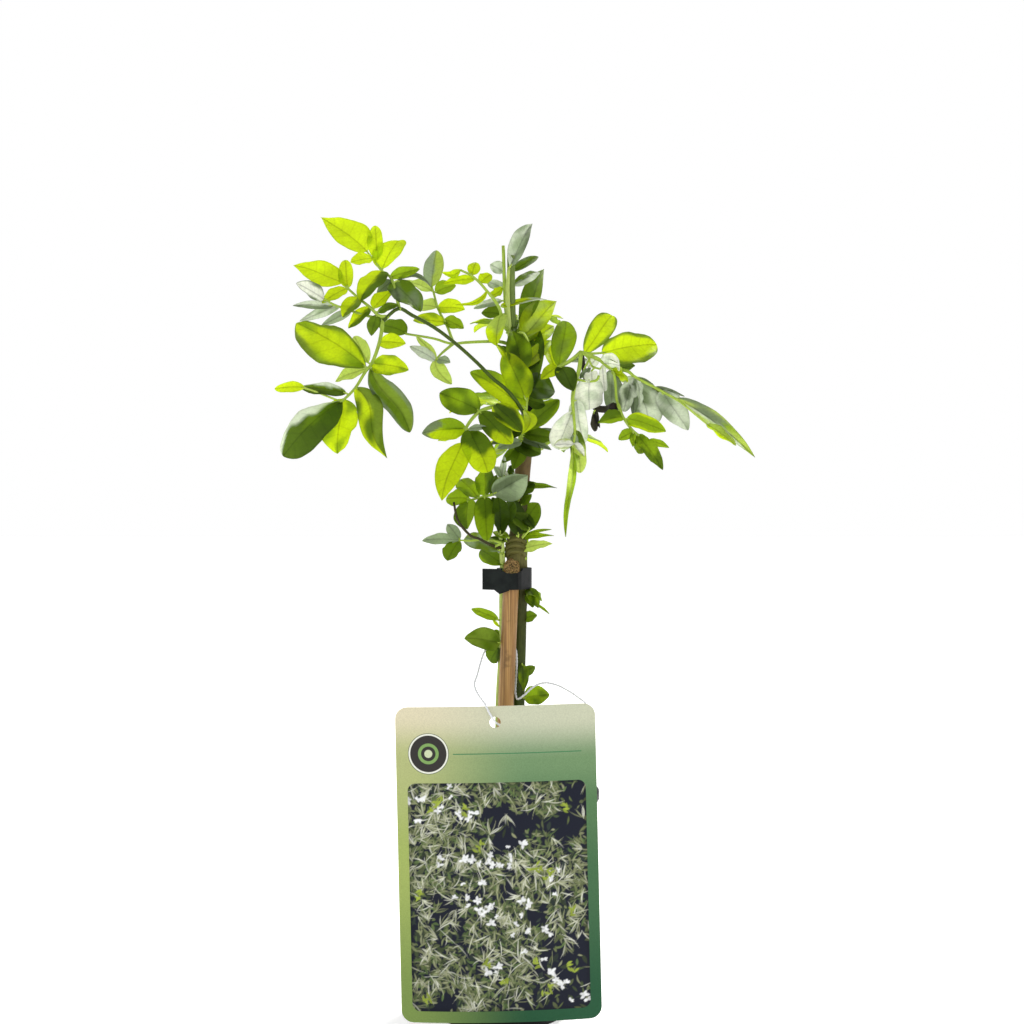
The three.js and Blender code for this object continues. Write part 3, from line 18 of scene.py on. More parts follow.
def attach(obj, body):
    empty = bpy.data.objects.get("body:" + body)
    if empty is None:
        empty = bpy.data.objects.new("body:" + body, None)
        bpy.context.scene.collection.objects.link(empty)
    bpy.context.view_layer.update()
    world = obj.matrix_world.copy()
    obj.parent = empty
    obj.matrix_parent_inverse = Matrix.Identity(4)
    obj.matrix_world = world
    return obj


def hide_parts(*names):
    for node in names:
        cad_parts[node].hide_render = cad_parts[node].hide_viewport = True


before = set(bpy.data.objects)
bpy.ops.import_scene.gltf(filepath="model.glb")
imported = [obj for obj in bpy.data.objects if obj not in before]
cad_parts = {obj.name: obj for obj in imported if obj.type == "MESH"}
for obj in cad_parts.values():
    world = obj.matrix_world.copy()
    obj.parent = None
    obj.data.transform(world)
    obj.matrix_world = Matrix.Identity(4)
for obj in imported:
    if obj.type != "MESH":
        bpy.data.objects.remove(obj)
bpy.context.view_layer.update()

MM = 0.001
print("solids:", len(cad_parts))

# %% [markdown]
# ## Where the pieces are
#
# The leaves are written down as the eye sees them from the front: to the right and up, in
# millimetres, on the upright plane through the pot's axis. A depth then carries a place along its
# line of sight. It could also be done with plain x, y and z, but then a change of depth would move
# the piece in the picture. The camera stands at the same eye, so both always agree.

# %% The eye and its lines of sight
EYE = Vector((5.45, -650.0, 225.0))
PICTURE_HALF_WIDTH = 232.7
SENSOR_WIDTH = 36.0


def in_sight(x, z, y):
    reach = (y - EYE.y) / -EYE.y
    return Vector((EYE.x + (x - EYE.x) * reach, y, EYE.z + (z - EYE.z) * reach))


def in_sight_on_plane(x, z, anchor, normal):
    ray = Vector((x, 0, z)) - EYE
    return EYE + ray * (normal.dot(anchor - EYE) / normal.dot(ray))


camera_data = bpy.data.cameras.new("camera")
camera_data.sensor_width = SENSOR_WIDTH
camera_data.lens = SENSOR_WIDTH / 2 * -EYE.y / PICTURE_HALF_WIDTH
camera = bpy.data.objects.new("camera", camera_data)
camera.location = EYE * MM
camera.rotation_euler = (math.pi / 2, 0, 0)
bpy.context.scene.collection.objects.link(camera)
bpy.context.scene.camera = camera
print("lens:", round(camera_data.lens, 2), "mm")

# %% [markdown]
# ## Collecting faces
#
# A leafy shoot has hundreds of small surfaces. One object for each would be slow and hard to keep
# together, so this collector gathers the corners and faces of a whole shoot and makes one mesh.
# Each corner carries a colour, called tint, and a place on its own blade or stem. The finishes read
# both, which lets one material dress leaves of many shades and lay the veins along each blade.

# %% A collector of faces


class Growth:
    def __init__(self):
        self.points = []
        self.faces = []
        self.tints = []
        self.places = []
        self.slots = []
        self.sharp = set()
        self.count = 0

    def add(self, points, faces, tints, places, slot, sharp=()):
        start = self.count
        self.points.append(np.asarray(points, float).reshape(-1, 3))
        self.tints.append(np.asarray(tints, float).reshape(-1, 3))
        self.places.append(np.asarray(places, float).reshape(-1, 3))
        self.faces += [tuple(corner + start for corner in face) for face in faces]
        self.slots += [slot] * len(faces)
        self.sharp |= {tuple(sorted((a + start, b + start))) for a, b in sharp}
        self.count += len(self.points[-1])

    def build(self, name, finishes):
        mesh = bpy.data.meshes.new(name)
        mesh.from_pydata(np.vstack(self.points) * MM, [], self.faces)
        for finish in finishes:
            mesh.materials.append(finish)
        mesh.polygons.foreach_set("material_index", self.slots)
        mesh.polygons.foreach_set("use_smooth", [True] * len(mesh.polygons))
        tint = mesh.attributes.new("tint", "FLOAT_COLOR", "POINT")
        rgba = np.hstack([np.vstack(self.tints), np.ones((self.count, 1))])
        tint.data.foreach_set("color", rgba.ravel())
        place = mesh.attributes.new("place", "FLOAT_VECTOR", "POINT")
        place.data.foreach_set("vector", np.vstack(self.places).ravel())
        if self.sharp:
            marks = [tuple(sorted(edge.vertices)) in self.sharp for edge in mesh.edges]
            mesh.edges.foreach_set("use_edge_sharp", marks)
        piece = bpy.data.objects.new(name, mesh)
        bpy.context.scene.collection.objects.link(piece)
        print(name, "faces:", len(mesh.polygons))
        return piece


def dress(piece, slot, *nodes):
    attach(piece, "root")
    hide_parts(*nodes)
    return piece


# %% [markdown]
# ## Colours
#
# Colours are written as they look on a screen, from 0 to 255, and turned into the linear values
# that Blender's shaders expect. The leaves use a short palette: lime where light comes through a
# young blade, and green, olive, dark and deep as painted shade where blades lie in each other's
# shade. Grey to white are for the downy undersides that the drooping leaves turn to the front, and
# slate, a bluish grey-green, is for undersides and also for a painted sheen on dark blades.

# %% The palette


def colour(red, green, blue):
    screen = np.array([red, green, blue]) / 255
    return np.where(screen <= 0.04045, screen / 12.92, ((screen + 0.055) / 1.055) ** 2.4)


PALETTE = {
    "lime": colour(206, 229, 5),
    "soft": colour(188, 210, 84),
    "green": colour(140, 172, 6),
    "olive": colour(116, 142, 26),
    "dark": colour(88, 118, 4),
    "deep": colour(64, 90, 6),
    # slate: downy undersides, and also a painted bluish sheen on dark blades
    "slate": colour(118, 134, 100),
    "grey": colour(166, 184, 146),
    "pale": colour(214, 224, 200),
    "white": colour(250, 252, 238),
    "husk": colour(38, 32, 24),
    "bud": colour(214, 140, 120),
    "stalk": colour(158, 184, 70),
    "ribbed": colour(66, 86, 22),
    "light_stalk": colour(176, 200, 84),
    "knot": colour(92, 90, 42),
    "twig": colour(56, 52, 24),
    "pale_stem": colour(178, 196, 104),
}
DOWNY = ("white", "pale", "grey", "slate")
print("palette:", len(PALETTE), "colours")

# %% [markdown]
# ## Smooth lines
#
# A stem or a thread is a line through a few chosen points. Between them runs a centripetal
# Catmull-Rom curve, which passes through every point and makes no loops where two of them are
# close. A Bezier curve could do the same, but its handles would need care.

# %% Lines through points


def between(first, second, low, high, t):
    return first * ((high - t) / (high - low)) + second * ((t - low) / (high - low))


def smooth_line(points, pieces):
    ends = [points[0] * 2 - points[1], points[-1] * 2 - points[-2]]
    padded = [ends[0], *points, ends[1]]
    line = []
    for i in range(len(points) - 1):
        a, b, c, d = padded[i : i + 4]
        knots = [0.0]
        for first, second in ((a, b), (b, c), (c, d)):
            knots.append(knots[-1] + max((second - first).length, 1e-4) ** 0.5)
        for k in range(pieces):
            t = knots[1] + (knots[2] - knots[1]) * k / pieces
            ab = between(a, b, knots[0], knots[1], t)
            bc = between(b, c, knots[1], knots[2], t)
            cd = between(c, d, knots[2], knots[3], t)
            abc = between(ab, bc, knots[0], knots[2], t)
            bcd = between(bc, cd, knots[1], knots[3], t)
            line.append(between(abc, bcd, knots[1], knots[2], t))
    line.append(points[-1].copy())
    return line


def line_length(line):
    return sum((after - before).length for before, after in zip(line, line[1:]))


trial_line = smooth_line([Vector((0, 0, 0)), Vector((8, 0, 10)), Vector((0, 0, 20))], 8)
print("a trial line is", round(line_length(trial_line), 1), "mm long")

# %% [markdown]
# ## Round stems
#
# A curve object with a bevel would do for one stem, but it can't carry ribs or a tint at each ring,
# so the rings are laid here by hand. A frame is carried along the line and turned as little as it
# can be, which keeps the ribs from twisting.

# %% Rings along a line


def frames_along(line):
    across = None
    for i, point in enumerate(line):
        along = (line[min(i + 1, len(line) - 1)] - line[max(i - 1, 0)]).normalized()
        if across is None:
            aside = Vector((0, 0, 1)) if abs(along.z) < 0.9 else Vector((1, 0, 0))
            across = aside.cross(along)
        across = (across - along * across.dot(along)).normalized()
        yield point, across, along.cross(across)


def ring_faces(bands, sides, start=0):
    faces = []
    for band in range(bands):
        first = start + band * sides
        for k in range(sides):
            a, b = first + k, first + (k + 1) % sides
            faces.append((a, b, b + sides, a + sides))
    return faces


def add_stem(growth, points, radii, tint, slot=1, sides=10, pieces=4, ribs=0, rib_height=0.0):
    line = smooth_line(points, pieces)
    widths = np.interp(np.linspace(0, len(points) - 1, len(line)), range(len(points)), radii)
    tints = tint if callable(tint) else lambda point: PALETTE[tint]
    angles = np.linspace(0, 2 * math.pi, sides, endpoint=False)
    corners, colours, places = [], [], []
    travelled = 0.0
    for i, (point, across, other) in enumerate(frames_along(line)):
        travelled += (point - line[i - 1]).length if i else 0
        ring = widths[i] * (1 + rib_height * np.cos(ribs * angles))
        offsets = np.outer(ring * np.cos(angles), across) + np.outer(ring * np.sin(angles), other)
        corners.append(np.array(point) + offsets)
        colours.append(np.tile(tints(point), (sides, 1)))
        places.append(np.column_stack([angles * widths[i], [travelled] * sides, angles]))
    faces = ring_faces(len(line) - 1, sides)
    last = (len(line) - 1) * sides
    faces.append(tuple(range(sides))[::-1])
    faces.append(tuple(range(last, last + sides)))
    growth.add(np.vstack(corners), faces, np.vstack(colours), np.vstack(places), slot)


def add_shoot_stem(growth, points, radii, tint, sides=12):
    add_stem(growth, points, radii, tint, sides=sides, ribs=5, rib_height=0.07)


def add_stalk(growth, points, radii):
    add_stem(growth, points, radii, "stalk", ribs=3, rib_height=0.12)


trial = Growth()
add_stalk(trial, [Vector((0, 0, 0)), Vector((0, 0, 10))], [0.8, 0.5])
print("a trial stalk has", trial.count, "corners")

# %% [markdown]
# ## The outline of a leaflet
#
# A jasmine leaflet is a thin blade with a pointed tip. Its outline is one formula, so the widest
# place and the sharpness of the tip follow from two numbers, belly and taper. Drawing each outline
# by hand would be closer to one leaf, but a plant has hundreds of them.

# %% Half width along a blade
BELLY = 0.42


def blade_outline(t, belly, taper):
    rise = (t / belly) ** (taper * belly)
    return rise * ((1 - t) / (1 - belly)) ** (taper * (1 - belly))


def smooth_step(low, high, value):
    t = np.clip((value - low) / (high - low), 0, 1)
    return t * t * (3 - 2 * t)


print("share of the full width at the belly:", blade_outline(BELLY, BELLY, 1.4))

# %% [markdown]
# ## The tints of a leaflet
#
# A leaflet that lies half in the shade of others has more than one tint, so a tint is a short
# formula of palette names. In a/b, a is the half that points up and b the other. In a>b, the tint
# turns from a to b towards the tip. After ~ come patches of painted light and shade, after | a
# painted rim along both margins, painted light where it is lighter than the blade and painted shade
# where it is darker, and after ^ a painted sheen along the upper margin. Sines with a phase of each
# leaflet's own make the borders ragged, since straight ones look painted on.

# %% Read a tint formula
HALF_BORDER = (-0.1, 0.1)
TIP_BORDER = 0.05
PAINTED_PATCH_BORDER = (-0.4, 0.9)
PAINTED_RIM_BORDER = (0.66, 0.86)
PAINTED_SHEEN_BORDER = (0.5, 0.75)


def other_side(name):
    if name in DOWNY:
        return PALETTE[name] * 0.8 + PALETTE["green"] * 0.2
    return PALETTE[name] * 0.75 + PALETTE["grey"] * 0.25


def mixed(tint, other, share):
    return tint * (1 - share[..., None]) + other * share[..., None]


def blade_tints(key, t, u, leaflet, side_weight, shown):
    cut, (first_phase, second_phase) = leaflet["cut"], leaflet["phase"]
    ragged = 0.22 * np.sin(7 * t + 9 * cut) + 0.1 * np.sin(19 * t + 5 * u)
    key, _, painted_sheen = key.partition("^")
    key, _, painted_rim = key.partition("|")
    key, _, painted_patch = key.partition("~")
    halves, _, tip = key.partition(">")
    first, _, second = halves.partition("/")
    pick = (lambda name: PALETTE[name]) if shown else other_side
    upper_half = smooth_step(*HALF_BORDER, u * side_weight + ragged * 0.6)
    tint = mixed(pick(second or first), pick(first), upper_half)
    if tip:
        slant = t + 0.16 * u + 0.1 * np.sin(4 * u + 9 * cut)
        tint = mixed(tint, pick(tip), smooth_step(cut - TIP_BORDER, cut + TIP_BORDER, slant))
    # patches of painted light and shade across the blade
    if painted_patch:
        swell = 0.6 * np.sin(6 * t + 2 * u + 6 * first_phase)
        swell += 0.5 * np.sin(11 * t - 4 * u + 6 * second_phase)
        tint = mixed(tint, pick(painted_patch), smooth_step(*PAINTED_PATCH_BORDER, swell))
    # a painted rim along both margins: painted light where lighter, painted shade where darker
    if painted_rim:
        edge = np.abs(u) + 0.1 * np.sin(9 * t + 6 * first_phase)
        tint = mixed(tint, pick(painted_rim), smooth_step(*PAINTED_RIM_BORDER, edge))
    # a painted sheen, a highlight along the upper margin
    if painted_sheen:
        tint = mixed(tint, pick(painted_sheen), smooth_step(*PAINTED_SHEEN_BORDER, u * side_weight + ragged))
    return tint


print("downy tints:", DOWNY)

# %% [markdown]
# ## The form of a leaflet
#
# The blade is folded a little along its midrib, arched from root to tip, twisted, and waved at its
# margins. It is a grid of corners: t runs from root to tip and u across. The blade has an upper and
# a lower sheet, because their colours differ and a real leaf is not a single surface. A subdivision
# surface would round the tips off, so the grid is made fine at once.

# %% Shape a blade
CELL = 1.0
ROW_LIMITS, COLUMN_LIMITS = (9, 44), (6, 20)
FOLD = 9.0
FOLD_POWER = 1.25
BOW = 0.05
SHEET_THICKNESS, MARGIN_THINNING = 0.32, 0.6
RIB_HEIGHT, RIB_WIDTH = 0.28, 0.4
GROOVE, GROOVE_WIDTH = 0.14, 0.5
ROOT_HALF = 0.45
SIDE_VEINS = 6.5
VEIN_SLANT = 0.85
QUILT_HEIGHT, QUILT_REACH = 0.16, 3
WAVE_REACH = 4
STEADY_PLACE = 0.35


def blade_grid(length, width):
    rows = int(np.clip(round(length / CELL), *ROW_LIMITS))
    columns = int(np.clip(round(width / CELL), *COLUMN_LIMITS)) | 1
    t = ((1 - np.cos(math.pi * np.arange(rows) / rows)) / 2)[:, None] * np.ones((1, columns))
    u = np.linspace(-1, 1, columns)[None, :] * np.ones((rows, 1))
    return t, u


def blade_wave(leaflet, t, u, half, hump):
    wave = leaflet["wave"] * np.minimum(half, WAVE_REACH) / WAVE_REACH * u**2
    side_phase = np.where(u > 0, *leaflet["phase"])
    wave = wave * np.sin(2 * math.pi * (leaflet["waves"] * t + side_phase))
    wave += 0.3 * wave * np.sin(2 * math.pi * (3.1 * leaflet["waves"] * t + 2 * side_phase))
    crease = np.sin(9 * t + 3 * u + 6 * side_phase[:1, -1:])
    crease += 0.7 * np.sin(17 * t - 6 * u + 6 * side_phase[:1, :1])
    return wave + leaflet["crumple"] * crease * np.sqrt(hump)


def blade_quilt(t, u, half):
    vein = np.abs((t * SIDE_VEINS - np.abs(u) * VEIN_SLANT) % 1 - 0.5) * 2
    swell = QUILT_HEIGHT * smooth_step(0.55, 1, vein)
    return swell * np.minimum(half, QUILT_REACH) / QUILT_REACH * (1 - u**2)


def blade_corners(leaflet, t, u, half, length, axes):
    along, aside, up = (np.array(axis) for axis in axes)
    hump = 4 * t * (1 - t)
    fold = math.radians(leaflet["fold"])
    wave = blade_wave(leaflet, t, u, half, hump)
    groove = GROOVE * np.exp(-((u * half / GROOVE_WIDTH) ** 2))
    lift = half * math.sin(fold) * np.abs(u) ** FOLD_POWER + wave - groove - blade_quilt(t, u, half)
    shift = half * math.cos(fold) * u
    twist = math.radians(leaflet["twist"]) * (t - STEADY_PLACE)
    turned_lift = lift * np.cos(twist) + shift * np.sin(twist)
    shift = shift * np.cos(twist) - lift * np.sin(twist)
    lift = turned_lift + (leaflet["bow"] * length * hump - leaflet["curl"] * length * t**3)
    shift += leaflet["arc"] * hump + leaflet["sway"] * length * np.sin(2 * math.pi * t)
    axis = np.array(leaflet["base"]) + t[..., None] * length * along
    sheet = axis + shift[..., None] * aside + lift[..., None] * up
    thick = SHEET_THICKNESS / 2 * (1 - MARGIN_THINNING * u**2)
    rib = RIB_HEIGHT * (1 - t) * np.exp(-((u * half / RIB_WIDTH) ** 2))
    top = sheet + thick[..., None] * up
    under = sheet - (thick + rib)[..., None] * up
    end = np.array(leaflet["tip"]) - leaflet["curl"] * length * up
    return np.vstack([top.reshape(-1, 3), under.reshape(-1, 3), end[None, :]])


trial_grid = blade_grid(30, 14)[0]
print("a leaflet of 30 by 14 mm has", trial_grid.shape, "corners a sheet")

# %% [markdown]
# ## Closing a leaflet
#
# The two sheets are joined along the margins and meet in one corner at the tip. The margins are
# marked sharp, because a smooth turn there would shade a thin blade like a cushion.

# %% Build one blade
SHADE_SPREAD = 0.07
LIGHT_SLANT = 0.35
LEAFLET_STALK_RADII = [0.5, 0.42, 0.25]


def blade_faces(rows, columns):
    count = rows * columns
    tip_corner = 2 * count
    faces, sharp = [], []
    for i in range(rows - 1):
        for k in range(columns - 1):
            a = i * columns + k
            b = a + columns
            faces.append((a, b, b + 1, a + 1))
            faces.append((a + count, a + 1 + count, b + 1 + count, b + count))
        for k, order in ((0, 1), (columns - 1, -1)):
            a = i * columns + k
            b = a + columns
            faces.append((a, a + count, b + count, b)[::order])
            sharp += [(a, b), (a + count, b + count)]
    for k in range(columns - 1):
        a = (rows - 1) * columns + k
        faces.append((a, tip_corner, a + 1))
        faces.append((a + count, a + 1 + count, tip_corner))
        faces.append((k, k + 1, k + 1 + count, k + count))
    for k, order in ((0, 1), (columns - 1, -1)):
        a = (rows - 1) * columns + k
        faces.append((a, a + count, tip_corner)[::order])
        sharp += [(a, tip_corner), (a + count, tip_corner)]
    return faces, sharp


def add_blade(growth, leaflet, draw):
    base, tip, up = leaflet["base"], leaflet["tip"], leaflet["face"]
    along = tip - base
    length = along.length
    along.normalize()
    up = (up - along * up.dot(along)).normalized()
    aside = along.cross(up)
    t, u = blade_grid(length, leaflet["width"])
    half = leaflet["width"] / 2 * blade_outline(t, leaflet["belly"], leaflet["taper"])
    half = np.maximum(half, ROOT_HALF * (1 - t) ** 4) * (1 + leaflet["lean"] * np.sign(u))
    corners = blade_corners(leaflet, t, u, half, length, (along, aside, up))

    upright = up.dot(EYE - (base + tip) / 2) > 0
    side_weight = 1 if aside.z - LIGHT_SLANT * aside.x > 0 else -1
    light = 1 + draw.uniform(-SHADE_SPREAD, SHADE_SPREAD)
    seen = blade_tints(leaflet["tint"], t, u, leaflet, side_weight, True) * light
    hidden = blade_tints(leaflet["tint"], t, u, leaflet, side_weight, False) * light
    sheets = (seen, hidden) if upright else (hidden, seen)
    rows, columns = t.shape
    tints = [sheet_tint.reshape(-1, 3) for sheet_tint in sheets] + [seen[-1, columns // 2][None, :]]
    flat = np.stack([u * half, t, u], axis=-1).reshape(-1, 3)
    places = np.vstack([flat, flat, [[0, 1, 0]]])
    faces, sharp = blade_faces(rows, columns)
    growth.add(corners, faces, np.vstack(tints), places, leaflet["slot"], sharp)
    if leaflet["root"]:
        points = [leaflet["root"], base, base + along * 0.1 * length]
        add_stem(growth, points, LEAFLET_STALK_RADII, "light_stalk", sides=7, pieces=3)


print("faces of such a leaflet:", len(blade_faces(*trial_grid.shape)[0]))

# %% [markdown]
# ## A short way to write finishes
#
# A finish is a small graph of shader nodes. Written out in full, each node takes three or four
# lines, so this helper gives every common node one line. The numbers that are the same all over a
# surface, such as how glossy it is, still go straight onto the shader's own sockets.

# %% Helper for finishes


class Finish:
    def __init__(self, name, roughness, specular=0.5):
        self.material = bpy.data.materials.new(name)
        self.material.use_nodes = True
        self.tree = self.material.node_tree
        self.shader = self.tree.nodes["Principled BSDF"]
        self.shader.inputs["Roughness"].default_value = roughness
        self.shader.inputs["Specular IOR Level"].default_value = specular
        self.at = self.add("TexCoord").outputs["Object"]

    def put(self, value, socket):
        if isinstance(value, bpy.types.NodeSocket):
            self.tree.links.new(value, socket)
        elif socket.type == "RGBA":
            socket.default_value = (*value, 1)
        else:
            socket.default_value = value

    def add(self, kind, values=(), **settings):
        node = self.tree.nodes.new("ShaderNode" + kind)
        for name, value in settings.items():
            setattr(node, name, value)
        for name, value in dict(values).items():
            self.put(value, node.inputs[name])
        return node

    def math(self, how, a, b=0.0):
        return self.add("Math", {0: a, 1: b}, operation=how).outputs[0]

    def split(self, vector):
        return self.add("SeparateXYZ", {0: vector}).outputs

    def stretch(self, x, y, z, source=None):
        values = {0: source or self.at, 1: (x, y, z)}
        return self.add("VectorMath", values, operation="MULTIPLY").outputs[0]

    def noise(self, scale, detail=3.0, rough=0.55, source=None):
        values = {"Vector": source or self.at, "Scale": scale, "Detail": detail, "Roughness": rough}
        return self.add("TexNoise", values).outputs["Fac"]

    def cells(self, scale, source):
        return self.add("TexVoronoi", {"Vector": source, "Scale": scale}).outputs["Distance"]

    def step(self, value, low, high, dark=0.0, bright=1.0):
        values = {"Value": value, "From Min": low, "From Max": high, "To Min": dark, "To Max": bright}
        return self.add("MapRange", values, interpolation_type="SMOOTHSTEP").outputs["Result"]

    def mix(self, share, first, second):
        node = self.add("Mix", data_type="RGBA")
        for value, socket in zip((share, first, second), (node.inputs[0], node.inputs[6], node.inputs[7])):
            self.put(value, socket)
        return node.outputs[2]

    def scale(self, colour_socket, factor):
        return self.add("VectorMath", {0: colour_socket, "Scale": factor}, operation="SCALE").outputs[0]

    def read(self, name):
        return self.add("Attribute", attribute_name=name).outputs

    def bump(self, height, distance, strength=1.0):
        values = {"Height": height, "Distance": distance, "Strength": strength}
        self.put(self.add("Bump", values).outputs["Normal"], self.shader.inputs["Normal"])

    def paint(self, colour_socket):
        self.put(colour_socket, self.shader.inputs["Base Color"])


print("a finish can:", [name for name in vars(Finish) if not name.startswith("_")])

# %% [markdown]
# ## The thread that holds the card
#
# The card hangs on one loop of white cotton thread. It leaves the hole, goes up and round the cane
# and the stems, and comes back behind the card. A plain round tube would do from far away, but
# thread is two strands twisted together, and that twist is what the eye knows it by. So two thin
# tubes wind round the same line. The line's points lie where the thread's solid lies.

# %% Spin and hang the thread
THREAD_RADIUS = 0.5
STRAND_RADIUS = 0.33
TWIST_LENGTH = 3.2
THREAD_PIECES = 14
FIBRE_STRETCH = (0.9, 9000, 9000)
THREAD_ROUTE = [
    (-2.2, 129.4, -45.9), (-2.8, 130.4, -47.4), (-4.7, 133.4, -47.9), (-6.9, 137.8, -46.6),
    (-9.9, 142, -42), (-11.6, 146.4, -36), (-10.3, 151, -28), (-8.8, 156.5, -16),
    (-6.9, 161.7, -3.5), (-4.6, 164.5, 1.6), (-2.2, 166.2, 4.9), (1.2, 167.2, 6.7),
    (4.6, 166, 4.6), (7.1, 162.5, 2.5), (7.6, 156, 2.3), (7.3, 149, 2.1), (7, 143, 1.2),
    (8, 140, -1.6), (11, 141.8, -3), (14, 144.6, -3.4), (17.2, 146.7, -4.4), (21, 147.4, -6.5),
    (25.8, 146.4, -11), (30, 144.4, -17), (35, 141.2, -25), (39.6, 137, -34), (40.5, 131.5, -39),
    (36, 126.5, -41), (26, 123.5, -42.6), (14, 123.8, -43.4), (3.4, 126.7, -43.8),
    (-1.1, 128.7, -44.1), (-2.2, 129.4, -45.1),
]

cotton = Finish("cotton_thread", 0.85, 0.3)
cotton.shader.inputs["Sheen Weight"].default_value = 0.25
fibres = cotton.noise(1.0, 4, 0.7, cotton.stretch(*FIBRE_STRETCH, cotton.read("place")["Vector"]))
cotton.bump(fibres, 0.00004, 0.6)
cotton.paint(cotton.mix(fibres, colour(196, 199, 202), colour(240, 242, 244)))

thread_line = smooth_line([in_sight(x, z, y) for x, z, y in THREAD_ROUTE], THREAD_PIECES)
thread = Growth()
for half_turn in (0, math.pi):
    strand = []
    travelled = 0.0
    for i, (point, across, other) in enumerate(frames_along(thread_line)):
        travelled += (point - thread_line[i - 1]).length if i else 0
        angle = half_turn + travelled / TWIST_LENGTH * 2 * math.pi
        reach = THREAD_RADIUS - STRAND_RADIUS
        strand.append(point + (across * math.cos(angle) + other * math.sin(angle)) * reach)
    add_stem(thread, strand, [STRAND_RADIUS] * len(strand), "white", slot=0, sides=6, pieces=1)
tag_string = dress(thread.build("hanging_thread", [cotton.material]), "string", "tag_string")
print("thread length:", round(line_length(thread_line), 1), "mm")

# %% [markdown]
# ## The floor
#
# The plant stands on a pale floor without an edge in sight. The view transform is the plain one,
# since the filmic one would wash out lime.

# %% Lay the floor
bpy.context.scene.view_settings.view_transform = "Standard"
FLOOR_HALF = 12.0
TABLE_LIGHT = 0.42

pale_floor = Finish("pale_floor", 0.6, 0.2)
pale_floor.shader.inputs["Emission Color"].default_value = (1, 1, 1, 1)
pale_floor.shader.inputs["Emission Strength"].default_value = TABLE_LIGHT
pale_floor.bump(pale_floor.noise(400), 0.0001, 0.1)
pale_floor.paint(pale_floor.mix(pale_floor.noise(3, 2), (0.93, 0.93, 0.93), (0.96, 0.96, 0.96)))
floor_mesh = bpy.data.meshes.new("floor")
corner_signs = [(-1, -1), (1, -1), (1, 1), (-1, 1)]
floor_mesh.from_pydata([(FLOOR_HALF * x, FLOOR_HALF * y, 0) for x, y in corner_signs], [], [(0, 1, 2, 3)])
floor_mesh.materials.append(pale_floor.material)
floor = bpy.data.objects.new("floor", floor_mesh)
bpy.context.scene.collection.objects.link(floor)
print("floor:", 2 * FLOOR_HALF, "m square")

# %% [markdown]
# ## The light
#
# The light that shapes the plant comes from above and behind, because young leaves are at their
# brightest with light coming through them. The sky of the world is bright near the horizon, as white
# studio walls are, and weaker overhead, so the leaves keep some shade under each other.

# %% Light the studio
WALL_LIGHT, SKY_LIGHT = 1.0, 0.55
WALL_TOP, SKY_FOOT = 0.35, 0.85
SUN = {"place": (0.45, 0.9, 1.3), "aim": 0.28, "size": 0.22, "watts": 20, "tone": (1, 0.98, 0.93)}
FRONT = {"place": (-0.9, -1.3, 0.9), "aim": 0.2, "size": 1.2, "watts": 2, "tone": (1, 1, 1)}

world = bpy.data.worlds.new("studio")
world.use_nodes = True
bpy.context.scene.world = world
sky = world.node_tree
direction = sky.nodes.new("ShaderNodeTexCoord").outputs["Generated"]
height = sky.nodes.new("ShaderNodeSeparateXYZ")
sky.links.new(direction, height.inputs[0])
fade = sky.nodes.new("ShaderNodeMapRange")
fade.interpolation_type = "SMOOTHSTEP"
fade.inputs["From Min"].default_value = WALL_TOP
fade.inputs["From Max"].default_value = SKY_FOOT
fade.inputs["To Min"].default_value = WALL_LIGHT
fade.inputs["To Max"].default_value = SKY_LIGHT
sky.links.new(height.outputs["Z"], fade.inputs["Value"])
sky.links.new(fade.outputs["Result"], sky.nodes["Background"].inputs["Strength"])
sky.nodes["Background"].inputs["Color"].default_value = (1, 1, 1, 1)


def add_lamp(name, place, aim, size, watts, tone):
    data = bpy.data.lights.new(name, "AREA")
    data.shape = "DISK"
    data.size = size
    data.energy = watts
    data.color = tone
    lamp = bpy.data.objects.new(name, data)
    lamp.location = place
    lamp.rotation_euler = (Vector((0, 0, aim)) - Vector(place)).to_track_quat("-Z", "Y").to_euler()
    bpy.context.scene.collection.objects.link(lamp)


add_lamp("sun_behind", **SUN)
add_lamp("front_soft", **FRONT)
print("lamps:", [light.name for light in bpy.data.lights])

# %% [markdown]
# ## The finish of a leaf
#
# A leaf lets light through, so its finish mixes a shader that reflects with one that passes light on.
# Glass-like transmission would be wrong, because a leaf scatters what it passes. The tint comes from
# the mesh, and the place on the blade draws the midrib and the side veins, which stop more light than
# the green between them, and a painted shade along the margin. Broad noise adds faint patches of
# painted light and shade. Light crosses both sheets of a blade on its way through, so each sheet passes
# the square root of the tint. A fine bump gives the skin between the veins its slight swell. The downy
# pale undersides of wilted leaves pass little light, so they get a duller finish of the same kind.

# %% Mix the finish of a leaf
MIDRIB_BORDER, SIDE_VEIN_BORDER = (0.12, 0.5), (0.03, 0.1)
VEIN_END, MARGIN_BORDER = (0.7, 1.0), (0.84, 1.0)
SIDE_VEIN_SHADE, MIDRIB_SHADE, MARGIN_PAINTED_SHADE = 0.12, 0.34, 0.2


def vein_lines(finish):
    across, t, u = finish.split(finish.read("place")["Vector"])
    middle = finish.step(finish.math("ABSOLUTE", across), *MIDRIB_BORDER, 1.0, 0.0)
    rise = finish.math("MULTIPLY", finish.math("ABSOLUTE", u), VEIN_SLANT)
    wobble = finish.math("MULTIPLY", finish.noise(260), 0.4)
    slanted = finish.math("SUBTRACT", finish.math("MULTIPLY", t, SIDE_VEINS), rise)
    phase = finish.math("ADD", slanted, wobble)
    far = finish.math("ABSOLUTE", finish.math("SUBTRACT", finish.math("FRACT", phase), 0.5))
    side = finish.step(far, *SIDE_VEIN_BORDER, 1.0, 0.0)
    side = finish.math("MULTIPLY", side, finish.step(finish.math("ABSOLUTE", u), *VEIN_END, 1, 0))
    # the last mask is the margin, which the leaf finish darkens as painted shade
    return middle, side, finish.step(finish.math("ABSOLUTE", u), *MARGIN_BORDER)


